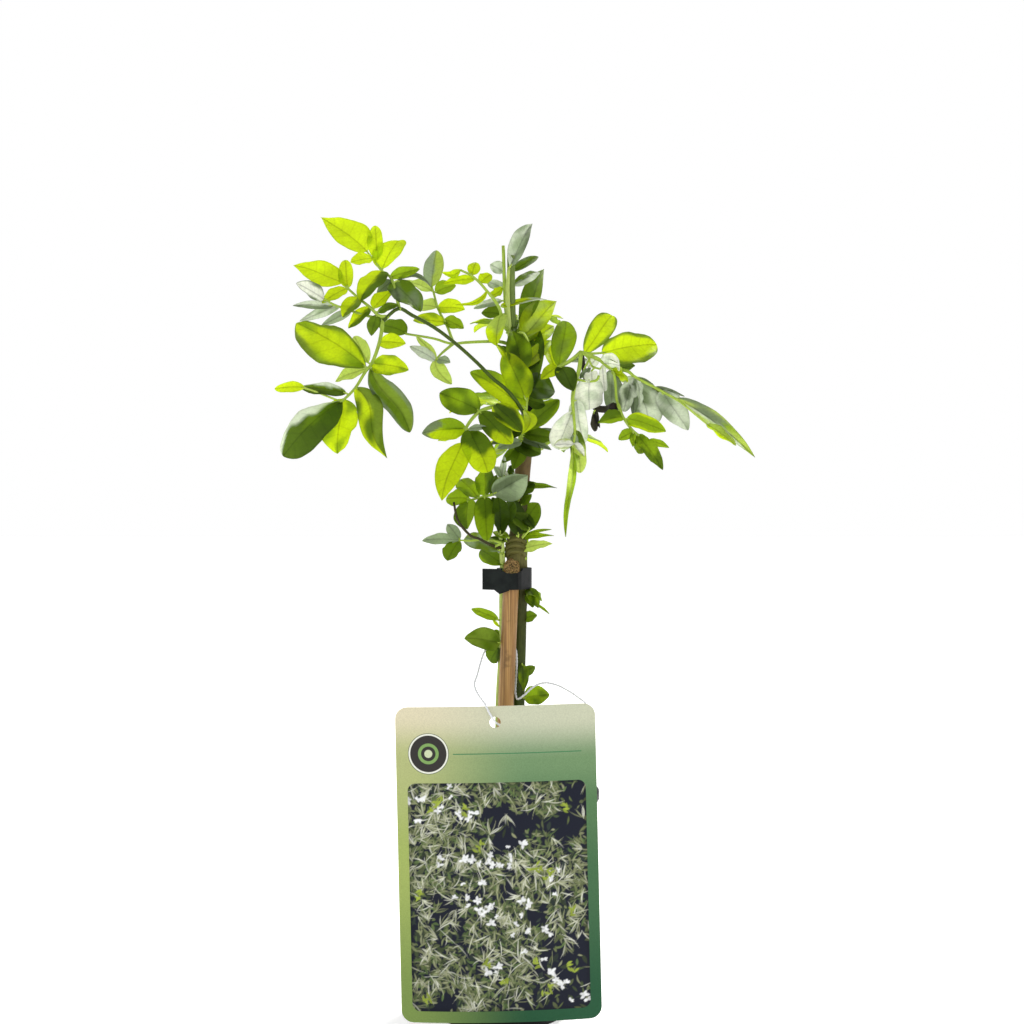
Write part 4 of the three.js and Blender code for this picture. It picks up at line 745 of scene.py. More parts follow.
def leaf_finish(name, roughness, specular, passed_share):
    finish = Finish(name, roughness, specular)
    middle, side, margin_shade_mask = vein_lines(finish)
    tint = finish.read("tint")["Color"]
    cells = finish.step(finish.noise(900, 3, 0.7), 0.3, 0.75, 0.88, 1.1)
    # broad patches of painted light and shade, a few percent darker or lighter
    painted_shade_patches = finish.step(finish.noise(75, 2, 0.5), 0.3, 0.7, 0.9, 1.08)
    tone = finish.math("MULTIPLY", cells, painted_shade_patches)
    veined = 1.0
    for line, shade in ((side, SIDE_VEIN_SHADE), (middle, MIDRIB_SHADE), (margin_shade_mask, MARGIN_PAINTED_SHADE)):
        veined = finish.math("SUBTRACT", veined, finish.math("MULTIPLY", line, shade))
    skin = finish.scale(tint, finish.math("MULTIPLY", tone, veined))
    swell = finish.math("SUBTRACT", finish.noise(1500, 2, 0.6), finish.math("MULTIPLY", side, 0.8))
    finish.bump(swell, 0.00008, 0.7)
    finish.paint(skin)
    one_sheet = finish.add("Gamma", {"Color": skin, "Gamma": 0.5}).outputs[0]
    glow = finish.add("BsdfTranslucent", {"Color": one_sheet})
    both = finish.add("MixShader", {0: passed_share, 1: finish.shader.outputs[0], 2: glow.outputs[0]})
    finish.tree.links.new(both.outputs[0], finish.tree.nodes["Material Output"].inputs["Surface"])
    return finish


leaf = leaf_finish("jasmine_leaf", 0.42, 0.35, 0.75)
underside = leaf_finish("jasmine_underside", 0.6, 0.2, 0.45)
print("nodes in a leaf's finish:", len(leaf.tree.nodes))

# %% [markdown]
# ## The finish of a stem
#
# Stems are opaque. Their skin has streaks along its length and small dark specks, drawn from the
# place on the stem, so that they follow every bend. Plain object coordinates would cut across it.

# %% Mix the finish of a stem
stem = Finish("jasmine_stem", 0.55, 0.2)
stem_place = stem.read("place")["Vector"]
streaks = stem.noise(1.0, 4, 0.65, stem.stretch(1.6, 0.22, 0, stem_place))
specks = stem.step(stem.cells(1.1, stem.stretch(1.0, 0.35, 0, stem_place)), 0.1, 0.22, 0.72, 1)
stem_tone = stem.math("MULTIPLY", stem.step(streaks, 0.3, 0.7, 0.72, 1.18), specks)
stem.bump(streaks, 0.00012, 0.7)
stem.paint(stem.scale(stem.read("tint")["Color"], stem_tone))
print("nodes in a stem's finish:", len(stem.tree.nodes))

# %% [markdown]
# ## Placing leaves on stems
#
# A jasmine leaf has a stalk with leaflets in pairs and one at the end. Each leaflet is given by its
# root and its tip as seen from the front, its width and its tint. A leaf's face tells which way its
# blades look, and a roll turns one about its own length. A blade seen edge on looks narrow, so the
# true width is the seen width divided by how much of it the eye is shown. Roots are joined to the
# nearest point of the stalk, so no blade floats. What a plan leaves open, such as waves and twist,
# is drawn from a seeded series.

# %% Place a leaf
LEAST_SHOWN = 0.34
STALK_TAPER = 0.45
SHORTEST_STALK = 0.25
WAVE_HEIGHT = 0.55
CURL = 0.015
TAPER = (1.2, 1.55)
LEAN = 0.1
TWIST = 16
SWAY = 0.012
TIP_START = 0.55
STALK_RADIUS = 0.8
STALK_PIECES, SHOOT_PIECES = 4, 6


def nearest_root(base, lines):
    point = min((point for line in lines for point in line), key=lambda point: (point - base).length)
    return None if (point - base).length < SHORTEST_STALK else point


def shown_share(base, tip, face):
    along = (tip - base).normalized()
    across_view = along.cross(((base + tip) / 2 - EYE).normalized()).normalized()
    return max(abs(along.cross(face).normalized().dot(across_view)), LEAST_SHOWN)


def leaflet_at(base, tip, face, width, tint, root, draw, **more):
    found = {
        "base": base, "tip": tip, "face": face, "width": width, "tint": tint, "root": root,
        "fold": FOLD, "bow": BOW, "arc": 0.0, "belly": BELLY, "cut": TIP_START,
        "wave": WAVE_HEIGHT * draw.uniform(0.4, 1.2), "waves": draw.uniform(1.4, 2.6),
        "phase": (draw.random(), draw.random()), "curl": CURL * draw.uniform(-0.5, 1.5),
        "taper": draw.uniform(*TAPER), "lean": LEAN * draw.uniform(-1, 1),
        "twist": TWIST * draw.uniform(-1, 1), "sway": SWAY * draw.uniform(-1, 1), "crumple": 0.0,
        "slot": 2 if tint.startswith(DOWNY) else 0,
    }
    found.update(more)
    return found


def add_leaf(growth, leaf_plan, stem_lines, draw):
    normal = Vector(leaf_plan["face"]).normalized()
    stalk = leaf_plan.get("stalk", [])
    first = (stalk or leaf_plan["leaflets"])[0]
    anchor = in_sight(first[0], first[1], leaf_plan["depth"])
    carriers = stem_lines
    if stalk:
        points = [in_sight_on_plane(x, z, anchor, normal) for x, z in stalk]
        thick = leaf_plan.get("thick", STALK_RADIUS)
        radii = [thick * (1 - STALK_TAPER * i / (len(points) - 1)) for i in range(len(points))]
        root = nearest_root(points[0], stem_lines)
        if root:
            points, radii = [root, *points], [thick, *radii]
        add_stalk(growth, points, radii)
        carriers = [smooth_line(points, STALK_PIECES)]
    for x0, z0, x1, z1, width, tint, *more in leaf_plan["leaflets"]:
        more = dict(more[0]) if more else {}
        base = in_sight(x0, z0, more.pop("y")) if "y" in more else in_sight_on_plane(x0, z0, anchor, normal)
        flat_tip = in_sight_on_plane(x1, z1, base, normal)
        tip = in_sight(x1, z1, flat_tip.y + more.pop("deep", 0))
        along = (tip - base).normalized()
        face = (normal - along * normal.dot(along)).normalized()
        face = Matrix.Rotation(math.radians(more.pop("roll", 0)), 3, along) @ face
        width /= shown_share(base, tip, face)
        root = nearest_root(base, carriers)
        add_blade(growth, leaflet_at(base, tip, face, width, tint, root, draw, **more), draw)


def grow_shoot(name, stems, leaves, slot, node, seed, stem_tints="stalk", sides=12):
    draw = random.Random(seed)
    growth = Growth()
    lines = []
    tints = stem_tints if isinstance(stem_tints, list) else [stem_tints] * len(stems)
    for places, tint in zip(stems, tints):
        points = [in_sight(x, z, y) for x, z, y, _ in places]
        add_shoot_stem(growth, points, [place[3] for place in places], tint, sides)
        lines.append(smooth_line(points, SHOOT_PIECES))
    for leaf_plan in leaves:
        add_leaf(growth, leaf_plan, lines, draw)
    return dress(growth.build(name, [leaf.material, stem.material, underside.material]), slot, node)


print("least shown share of a blade:", LEAST_SHOWN)

# %% [markdown]
# ## The main stem
#
# The main stem climbs behind the cane. It is green and smooth at its foot, ringed and corky above the lower
# band, where an old shoot was cut, and ribbed and dark near its top. From 238 to 254 mm it turns brown,
# a painted shade where leaves hang over it. Its tint is read off a short table of heights, which is
# easier to change than painting by hand. The leaves on it are small.

# %% Grow the main stem
# the browns from 238 to 254 mm are painted shade of the leaves over the stem
BARK_AND_SHADE = {
    78: (56, 72, 2), 150: (52, 66, 2), 188: (58, 60, 16), 196: (92, 88, 40), 214: (88, 84, 42),
    222: (66, 70, 26), 238: (92, 78, 42), 245: (108, 88, 54), 254: (100, 86, 50), 262: (74, 92, 24),
    300: (86, 106, 42), 342: (112, 132, 64),
}
BARK_AND_SHADE_TONES = [colour(*tone) for tone in BARK_AND_SHADE.values()]


def bark_and_shade_tint(point):
    return [np.interp(point.z, list(BARK_AND_SHADE), [tone[i] for tone in BARK_AND_SHADE_TONES]) for i in range(3)]


MAIN_STEMS = [
    [
        (7.2, 78, 7.5, 3.5), (7.4, 120, 7.5, 3.5), (7.8, 145, 7.5, 3.5), (8.3, 165, 7.5, 3.5),
        (8.6, 182, 7.4, 3.6), (9.2, 190, 7.2, 4.1), (8.6, 196, 7, 4), (8, 201, 6.4, 4.4),
        (7.7, 204.5, 6, 4.7), (7.8, 206, 6, 4.3), (7.6, 208.5, 6, 4.6), (7.8, 210, 6, 4.2),
        (7.8, 212.5, 6, 4.4), (8.2, 215, 6, 3.9), (8.8, 226, 6, 3.5), (9.8, 238, 6, 3.5),
        (10.6, 247, 6, 3.5), (12.2, 258, 6, 3.1), (13.9, 267, 6, 2.7), (14.3, 276, 6, 2.5),
        (12.4, 286, 7, 2.3), (8.6, 297, 7, 2.1), (5.8, 308, 7, 1.9), (5.1, 325, 7, 1.8), (5, 341.5, 7, 1.75),
    ],
    [(6, 306, 7, 1.1), (3.2, 314, 6, 0.9), (2.2, 325, 6, 0.8), (1.5, 346, 7, 0.75)],
    [(4.6, 304, 5, 1.1), (3.6, 316, 4.4, 1.15), (3.4, 326, 5, 1), (4, 336, 5.4, 0.7)],
    [
        (3, 306.5, 6, 0.5), (5, 305.5, 3, 0.5), (10, 306.5, 0, 0.5), (12.5, 303, -2, 0.5),
        (12.5, 297, -3, 0.5), (8, 289.5, -2, 0.45),
    ],
    [
        (3.2, 209.8, 4.2, 1), (4.2, 211.9, 2.9, 1.3), (7, 212.9, 2.2, 1.45), (9.8, 212.2, 2.9, 1.3),
        (11.3, 210, 4.2, 1),
    ],
    [
        (2.8, 207.2, 4, 1), (3.9, 209.2, 2.7, 1.3), (6.9, 210.2, 2, 1.45), (9.8, 209.5, 2.7, 1.3),
        (11.4, 207.4, 4, 1),
    ],
    [
        (2.8, 204.9, 4.2, 1), (3.9, 206.6, 2.7, 1.3), (6.8, 207.4, 2, 1.45), (9.6, 206.9, 2.7, 1.3),
        (11.2, 204.9, 4.2, 1),
    ],
]
MAIN_LEAVES = [
    {"depth": 6, "face": (0.35, -0.75, 0.55), "leaflets": [
        (4.6, 336.5, 15, 356.3, 8.6, "pale/slate~grey", {"y": 3.4, "roll": 15, "belly": 0.38,
            "taper": 1.9, "lean": -0.3, "arc": -1.2}),
        (1.6, 334, -4.5, 337.5, 6, "pale~grey", {"y": 6, "roll": -20}),
        (6, 334.5, 17.5, 341, 4.4, "dark|slate", {"y": 7}),
        (6, 328, 18, 334, 5.2, "dark/pale", {"y": 7, "deep": 6}),
        (9.4, 309.5, 20.3, 336, 9.4, "dark/olive", {"y": 5.6, "taper": 1.9, "lean": -0.3}),
        (0.5, 318.5, 21.5, 322, 2.6, "lime>pale", {"y": 3, "belly": 0.25}),
        (9.6, 303.6, 25.8, 320.8, 12.4, "lime~soft", {"y": 2, "lean": -0.3, "belly": 0.42, "taper": 2.1}),
        (12, 300.6, 24.4, 309.6, 8.6, "lime~green", {"y": 3}),
    ]},
    {"depth": 4, "face": (-0.3, -0.8, 0.5), "leaflets": [
        (1, 327, -5, 323, 4, "lime", {"y": 6, "arc": -1.6}),
        (1, 321, -12, 317.5, 3.6, "pale/grey", {"y": 5}),
        (2, 326, -6, 330, 5, "pale~grey", {"y": 8}),
        (1, 315, -8.5, 315.5, 6, "dark", {"y": 3}),
        (0, 314.5, -1.5, 300.5, 9, "soft>lime", {"y": 0, "roll": 20}),
    ]},
    {"depth": 3, "face": (0.2, -0.8, 0.5), "leaflets": [
        (12.5, 190.5, 17.5, 181.5, 5.6, "dark~green", {"y": 6, "deep": -2, "bow": 0.12}),
        (12.6, 188, 15, 181.6, 4.4, "dark", {"y": 5, "deep": -3, "roll": 30}),
        (13, 189, 19, 184.5, 3.6, "green", {"y": 6, "roll": -40}),
        (16, 183.5, 22.6, 178.5, 1.3, "green", {"y": 3, "deep": -2}),
        (10.6, 176.5, 16.9, 178.2, 5.4, "dark", {"y": 7, "deep": -3}),
        (9.2, 151, 16, 154.8, 5, "dark", {"y": 5}),
        (10, 156, 10.6, 143.5, 5, "dark~green", {"y": 4.5, "deep": -2}),
        (11, 140.5, 22.5, 142, 9, "green~dark", {"y": 4, "deep": -3}),
    ]},
    {"depth": 2, "face": (0.1, -0.75, 0.6), "leaflets": [
        (11.5, 236.5, 26, 236, 3.6, "dark", {"y": 5, "belly": 0.15, "deep": -4}),
        (7.4, 232.6, 15.6, 238.2, 6.6, "deep", {"y": 1.4, "belly": 0.55, "deep": -3}),
        (8.2, 231, 6.8, 235.2, 1.5, "pale", {"y": 1.6}),
        (6, 227.6, 9.8, 231.9, 1.3, "soft", {"y": 0.2}),
        (12, 216.8, 13.7, 219.2, 1, "pale", {"y": 1}),
        (11.8, 203.5, 11.6, 217.5, 2.2, "olive/green", {"y": 3.4, "belly": 0.5, "taper": 0.8}),
        (11, 214.5, 23.5, 217.3, 1.6, "green", {"y": 4}),
        (10.5, 213.5, 24.6, 214.3, 3.2, "green", {"y": 4, "deep": -5, "belly": 0.2}),
        (10.5, 208.3, 24, 210.7, 5, "soft", {"y": 4, "deep": -7, "belly": 0.3}),
        (8, 215, 17.4, 229.2, 11.5, "dark", {"y": 1, "belly": 0.5, "deep": -7}),
        (8.4, 214.6, 4.4, 231, 9.6, "deep", {"y": 0.6, "belly": 0.5, "taper": 1.1, "deep": -13}),
        (13.4, 217.4, 5, 224, 7, "dark|olive", {"y": -0.6, "deep": -6, "taper": 1.2}),
        (9.6, 228, 14.4, 233.2, 4, "dark", {"y": 1.4, "deep": -3}),
        (9.8, 224.5, 15.8, 217.6, 4.4, "deep", {"y": 2}),
    ]},
]

STEM_TINTS = [bark_and_shade_tint, "stalk", "pale_stem", "light_stalk"] + ["knot"] * 3
grow_shoot("main_stem_growth", MAIN_STEMS, MAIN_LEAVES, "stem", "main_stem", 11, STEM_TINTS, sides=20)

# %% [markdown]
# ## The second stem
#
# A thinner stem runs along the cane's left side, pale green where it is young. Every shoot below is
# written in the same way, so that one function grows them all.

# %% Grow the second stem
SECOND_STEMS = [
    [
        (-1.6, 82, 3.2, 1.4), (-0.9, 120, 3.4, 1.35), (-0.7, 140, 3.2, 1.3), (0.8, 165, 3.5, 1.3),
        (0.9, 185, 3.3, 1.3), (1.2, 196, 3.3, 1.3), (1, 205, 2.6, 1.25), (0.4, 216, 1.6, 1.2),
        (-0.6, 228, 0, 1.1), (0, 240, -1.5, 1), (2, 249, -2, 0.8),
    ],
    [
        (0.8, 208.5, 2.2, 0.8), (-4, 210, -3, 0.7), (-10, 213, -9, 0.6), (-13, 214, -12, 0.6),
        (-17, 218, -14, 0.6), (-19.5, 222, -15, 0.55), (-21, 229.5, -15, 0.5),
    ],
]
SECOND_LEAVES = [
    {"depth": 3, "face": (-0.3, -0.75, 0.6), "leaflets": [
        (-0.8, 176, -13, 181, 4.4, "green", {"y": 2.6}),
        (-0.4, 173, -3.4, 176, 1.6, "lime", {"y": 2.8}),
        (-0.5, 169, -2.4, 171.6, 2.6, "dark", {"y": 3}),
        (0, 165.5, -16.2, 167.7, 10.4, "olive~dark", {"y": -2, "deep": -9, "belly": 0.4}),
        (0, 164, -4.6, 157, 7.5, "dark", {"y": 3, "deep": 6, "belly": 0.5}),
    ]},
    {"depth": 1, "face": (-0.25, -0.7, 0.65), "leaflets": [
        (-0.4, 207.6, -15.8, 213.4, 8, "olive~grey", {"y": 1, "belly": 0.55, "taper": 1}),
        (1.4, 201.2, -9, 207.6, 9, "dark|green", {"y": 1.5, "belly": 0.45, "deep": 5}),
        (3.2, 211.6, -4.2, 213.6, 3, "deep|soft", {"y": 0}),
        (4.2, 213.2, -3.4, 216, 3.6, "green~soft", {"y": -0.6}),
        (1.6, 205.5, 1.2, 212.5, 1.8, "soft", {"y": 0.6}),
        (0, 206, -1.6, 208.8, 1.2, "pale", {"y": 0.4}),
    ]},
    {"depth": -4, "face": (-0.2, -0.7, 0.65), "thick": 0.7,
     "stalk": [(0.4, 211), (-8, 212.5), (-13, 212), (-18.5, 212.2)],
     "leaflets": [
        (-18.5, 212.2, -35.5, 212, 5.2, "grey"),
        (-18.3, 212.6, -24, 219.6, 5.6, "grey"),
        (-18.3, 212, -24, 203, 7.6, "dark", {"belly": 0.55}),
    ]},
    {"depth": -1, "face": (-0.3, -0.75, 0.55), "thick": 0.8,
     "stalk": [(-0.6, 233.5), (-3, 233), (-9, 231.5), (-15, 230)],
     "leaflets": [
        (-10, 231.2, -18, 240, 9, "green~olive", {"roll": 25, "belly": 0.5}),
        (-6.5, 232.4, -6, 245.5, 8.4, "green/dark", {"roll": -10, "belly": 0.45, "taper": 1.2}),
        (-14, 231.2, -24.6, 231, 7.8, "green", {"belly": 0.5}),
        (-14.6, 230, -15, 217.4, 10, "green/dark", {"roll": 15, "taper": 1.2}),
        (-7, 231.6, -5.8, 212, 9.6, "dark>green", {"roll": -15, "cut": 0.46, "taper": 0.9}),
        (-3.6, 232.6, -1.6, 242, 4.4, "deep", {"roll": 10, "deep": 3}),
    ]},
    {"depth": -5, "face": (0.3, 0.8, 0.5), "leaflets": [
        (-3, 233.2, 12.7, 241.8, 13, "slate/grey|grey", {"y": -4, "deep": -5, "belly": 0.3,
            "taper": 1.5, "lean": -0.3, "sway": 0, "twist": 0, "wave": 0.3}),
        (-1.3, 224, -1.9, 230.4, 1.7, "bud|soft", {"y": -2}),
        (0.6, 240.5, 2.2, 250.5, 3, "pale~grey", {"y": -2}),
        (4, 241, -1.4, 245.8, 2.2, "white|pale", {"y": -3}),
        (0, 241, -2.8, 246, 2.4, "grey", {"y": -3}),
        (4.4, 241, 5, 246.4, 3.2, "deep", {"y": -2}),
        (6.8, 241.6, 3.8, 246.2, 1.2, "pale", {"y": -2.6}),
        (0.8, 216.4, -2.2, 223, 4.4, "dark", {"y": -0.6}),
        (0.4, 217, 2.2, 224.4, 4, "olive~dark", {"y": -0.8}),
        (0.2, 215, -0.6, 232, 7.6, "deep", {"y": 0.8, "deep": -13, "belly": 0.5, "taper": 1.1}),
        (0.4, 219, 6.4, 229.6, 6.4, "deep", {"y": 0, "deep": -8}),
        (-0.8, 224.6, -3.4, 231.8, 4.6, "deep", {"y": -0.4}),
    ]},
]

grow_shoot(
    "second_stem_growth", SECOND_STEMS, SECOND_LEAVES, "stem", "second_stem", 12, ["pale_stem", "twig"]
)

# %% [markdown]
# ## The long left shoot
#
# This shoot arches over to the left and carries three large feathered leaves and one behind them.
# Where a leaflet lies half in another's shade, its tint names both.

# %% Grow the long left shoot
LEFT_STEMS = [
    [
        (13.6, 264, 6, 1), (12.6, 267.4, -4, 0.95), (10.2, 271, -13, 0.9), (7, 276, -17, 0.85),
        (2, 281.5, -18, 0.85), (-3, 285.5, -18, 0.8), (-10, 292.5, -17, 0.8), (-20, 301.5, -16, 0.8),
        (-30, 309, -15.5, 0.8), (-40, 314.5, -15.5, 0.8), (-46, 317.5, -16, 0.8), (-54, 311, -16, 0.75),
    ],
]
LEFT_LEAVES = [
    {"depth": -16, "face": (-0.2, -0.75, 0.6),
     "stalk": [(-45.5, 317.3), (-47.5, 325), (-50, 332), (-53.5, 334.5), (-57, 339), (-60.5, 343.5)],
     "leaflets": [
        (-60.5, 343.5, -81.5, 359, 14.2, "lime", {"belly": 0.3, "taper": 1.85, "wave": 0.4,
            "twist": 4, "lean": 0.12}),
        (-55, 340, -57, 355.5, 7.4, "lime", {"taper": 1.1}),
        (-53.5, 335.5, -46, 348.4, 11.5, "lime", {"roll": -10, "belly": 0.55, "taper": 1,
            "wave": 0.2, "twist": 0, "curl": 0}),
        (-58, 340, -68, 338.5, 5.5, "lime", {"deep": -4}),
        (-53.5, 334.5, -63.5, 321, 9.5, "lime/dark", {"deep": -6}),
        (-50, 331.5, -36.5, 335.5, 5.2, "green", {"roll": 25}),
        (-49, 329.5, -36, 316, 11, "dark~slate", {"deep": 8, "roll": -20}),
        (-49, 330, -56, 323.5, 4.4, "slate", {"deep": 7}),
        (-47, 330, -31, 327, 2.4, "slate", {"arc": -5, "deep": 10}),
    ]},
    {"depth": -16, "face": (-0.1, -0.85, 0.5),
     "stalk": [(-50.5, 313.8), (-54.5, 314), (-59, 318), (-64, 322), (-69.5, 327), (-71.5, 329.2)],
     "leaflets": [
        (-71.5, 329.2, -94, 337, 11.2, "lime", {"belly": 0.35, "wave": 0.4, "twist": 4, "taper": 1.75}),
        (-69, 327, -70.5, 339.5, 7, "lime", {"taper": 1}),
        (-69.5, 326.5, -81, 320, 5.5, "lime", {"deep": -4}),
        (-64, 322.5, -71.5, 313.5, 7, "lime/olive", {"deep": -4}),
        (-57.5, 317.5, -49, 325.5, 6, "lime", {"roll": -15}),
        (-59, 318, -69, 308.5, 5.5, "lime/dark", {"deep": 3}),
        (-55.5, 316, -46, 319, 3.6, "dark", {"deep": -4}),
        (-56, 314.5, -58.5, 305, 6, "dark", {"deep": 4}),
    ]},
    {"depth": -16, "face": (-0.15, -0.8, 0.52), "thick": 0.9,
     "stalk": [(-53.5, 311.5), (-54.5, 303), (-58.5, 292), (-61, 289), (-66, 281), (-71, 276), (-72, 275)],
     "leaflets": [
        (-72, 275, -98.6, 250.4, 15.4, "dark/deep>deep^pale", {"bow": 0.09, "wave": 0.9,
            "lean": -0.2, "belly": 0.56, "taper": 1.25, "cut": 0.62}),
        (-71.4, 276.4, -74, 251.6, 17, "lime~green", {"deep": 9, "wave": 1.2, "taper": 1.3, "belly": 0.42}),
        (-61, 291, -92.6, 311, 18, "lime~green|olive", {"bow": 0.08, "taper": 1.65,
            "belly": 0.45, "wave": 1.2, "lean": -0.3}),
        (-60, 293, -66.5, 305, 7, "soft", {"deep": 6}),
        (-55, 302, -42.8, 301.6, 7, "lime", {"curl": 0, "wave": 0.2, "twist": 0}),
        (-58, 292.5, -41.5, 289.6, 9.4, "lime~green", {"curl": 0, "wave": 0.4, "twist": 0}),
        (-59, 290.5, -41, 261.3, 11, "olive/dark|slate", {"deep": 6, "sway": 0.03, "wave": 0.8,
            "belly": 0.55}),
        (-65.4, 281.6, -51.3, 250, 11.4, "lime/olive~dark", {"roll": -10, "sway": -0.045,
            "wave": 1.1, "taper": 1.7, "cut": 0.5, "belly": 0.4}),
        (-61, 290, -75, 284.5, 5.4, "soft", {"deep": 7}),
        (-70, 279, -91, 281.6, 5.6, "dark/deep^pale", {"deep": 3, "taper": 1.3}),
        (-89, 281.4, -102.6, 281.2, 4.8, "lime", {"deep": 1, "taper": 1.2}),
    ]},
    {"depth": -13, "face": (0.1, 0.85, 0.45), "thick": 0.7,
     "stalk": [(-52, 312.5), (-60, 314), (-68, 316.5), (-76, 319.5), (-80, 322)],
     "leaflets": [
        (-80, 322, -92.5, 329, 7, "white|slate", {"deep": 8}),
        (-76, 318.8, -94, 319, 4, "pale/slate", {"deep": 5}),
        (-73, 318.5, -91, 312, 5, "pale~grey", {"deep": 7}),
        (-68, 316, -81, 310, 4.4, "grey", {"deep": 6}),
    ]},
]

grow_shoot("left_foliage", LEFT_STEMS, LEFT_LEAVES, "leaf", "left_shoot", 13, "ribbed")

# %% [markdown]
# ## The upper left shoot
#
# A thread-thin shoot with small leaflets crosses behind the long one.

# %% Grow the upper left shoot
UPPER_LEFT_STEMS = [
    [
        (8, 299.5, 7, 0.9), (1, 302.2, 2, 0.8), (-5, 302.5, -2, 0.7), (-16, 302, -4, 0.65),
        (-22, 301.5, -5, 0.6), (-30, 303.8, -5, 0.55), (-43, 306, -4, 0.5),
    ],
]
UPPER_LEFT_LEAVES = [
    {"depth": -5, "face": (-0.1, -0.8, 0.55),
     "stalk": [(-21, 301.6), (-22, 304), (-24, 309.5), (-28, 317), (-30, 324), (-31, 327.5)],
     "leaflets": [
        (-31, 327.5, -29, 344, 9.5, "grey/soft"),
        (-29.5, 325, -20, 328, 6.5, "green", {"wave": 0.2, "twist": 0, "curl": 0}),
        (-28.5, 318, -16, 317, 7, "lime", {"wave": 0.2, "twist": 0, "curl": 0}),
        (-25.5, 312.5, -16.5, 308.5, 6, "green"),
        (-31, 325.5, -44, 330, 5, "soft", {"roll": 20}),
        (-28.6, 318, -38, 319, 6, "soft", {"deep": 5}),
        (-25, 311.2, -39.5, 312, 6, "lime~green", {"deep": -5, "wave": 0.2, "twist": 0, "curl": 0}),
    ]},
    {"depth": -5, "face": (0.1, -0.85, 0.5), "thick": 0.7,
     "stalk": [(-21, 301.6), (-26, 297.5), (-29.5, 294)],
     "leaflets": [
        (-29.5, 293.8, -41, 300.5, 5, "pale", {"deep": -4}),
        (-29, 294.6, -38, 305, 3.6, "soft", {"deep": 5}),
        (-29.5, 294, -22, 283, 7, "soft", {"arc": 2}),
        (-28.5, 294.3, -22.6, 293, 4, "grey", {"deep": -3}),
    ]},
    {"depth": -4, "face": (-0.3, -0.7, 0.6), "leaflets": [
        (-42.5, 306.2, -55, 310.5, 8, "dark", {"y": -4}),
    ]},
]

grow_shoot("upper_left_foliage", UPPER_LEFT_STEMS, UPPER_LEFT_LEAVES, "leaf", "upper_left_shoot", 14)

# %% [markdown]
# ## The top left shoot
#
# One young leaf near the top, all lime, still curled at its tips.

# %% Grow the top left shoot
TOP_LEFT_STEMS = [
    [
        (5.4, 306, 7, 0.9), (2.5, 308.5, 3, 0.8), (1, 312, 0, 0.7), (0, 317, -3, 0.7), (-3, 322, -5, 0.7),
        (-6, 325.5, -6, 0.65), (-9, 329, -7, 0.6), (-13, 332.5, -8, 0.55), (-18, 335, -8, 0.5),
    ],
]
TOP_LEFT_LEAVES = [
    {"depth": -8, "face": (0.1, -0.8, 0.55), "leaflets": [
        (-18, 335, -26.3, 334, 3.4, "lime", {"y": -8, "arc": -3}),
        (-13, 332.8, -11, 338.5, 6, "lime", {"y": -8}),
        (-9, 329.2, -4, 333, 5.5, "lime", {"y": -7}),
        (-11.5, 331, -26, 328.6, 4.4, "lime", {"y": -7.5}),
        (-6, 325.3, -20.5, 319.5, 2.4, "lime", {"y": -6, "arc": -4}),
    ]},
]

grow_shoot("top_left_foliage", TOP_LEFT_STEMS, TOP_LEFT_LEAVES, "leaf", "top_left_shoot", 15)

# %% [markdown]
# ## The middle left shoot
#
# One large leaf hangs in front, with the shade of the leaves above it falling across its leaflets.

# %% Grow the middle left shoot
MIDDLE_LEFT_STEMS = [
    [(12.6, 259.5, 5, 1), (7, 262.5, -4, 0.9), (2, 268.5, -10, 0.85), (-3, 273, -14, 0.8)],
]
MIDDLE_LEFT_LEAVES = [
    {"depth": -14, "face": (-0.2, -0.8, 0.5), "thick": 0.9,
     "stalk": [(-3, 273), (-9.5, 270.5), (-15, 264), (-16.5, 259), (-17, 256.4)],
     "leaflets": [
        (-17, 256.4, -26.5, 230.3, 13, "lime", {"bow": 0.08}),
        (-9.5, 271, -27.5, 279.3, 12.6, "dark~green", {"deep": -3, "taper": 1.3}),
        (-15.5, 263, -35.5, 260.8, 9.5, "green/lime>slate", {"deep": -2, "cut": 0.7}),
        (-16, 261, -28.5, 257.6, 4.6, "lime", {"deep": 6}),
        (-13.8, 262.4, -5.6, 243.2, 13.4, "dark>lime", {"roll": -12, "belly": 0.56, "taper": 0.92}),
        (-14.5, 262.6, -5.5, 263.2, 2.8, "grey", {"deep": -4}),
        (-9, 270.2, 5.2, 256.4, 10, "dark>lime", {"deep": -6, "roll": 10, "cut": 0.74,
            "belly": 0.55, "taper": 1.1}),
        (-2.5, 274, 9.6, 262, 9.4, "deep/dark|lime", {"deep": -8, "belly": 0.55, "taper": 1.1, "lean": 0}),
        (-11, 261.8, -12.6, 251.4, 4, "soft", {"deep": 3}),
    ]},
]

grow_shoot("middle_left_foliage", MIDDLE_LEFT_STEMS, MIDDLE_LEFT_LEAVES, "leaf", "middle_left_shoot", 16)

# %% [markdown]
# ## The dense centre
#
# Leaflets crowd round the stem here. The deep tints lie behind the lime ones, which gives the crown
# its depth.

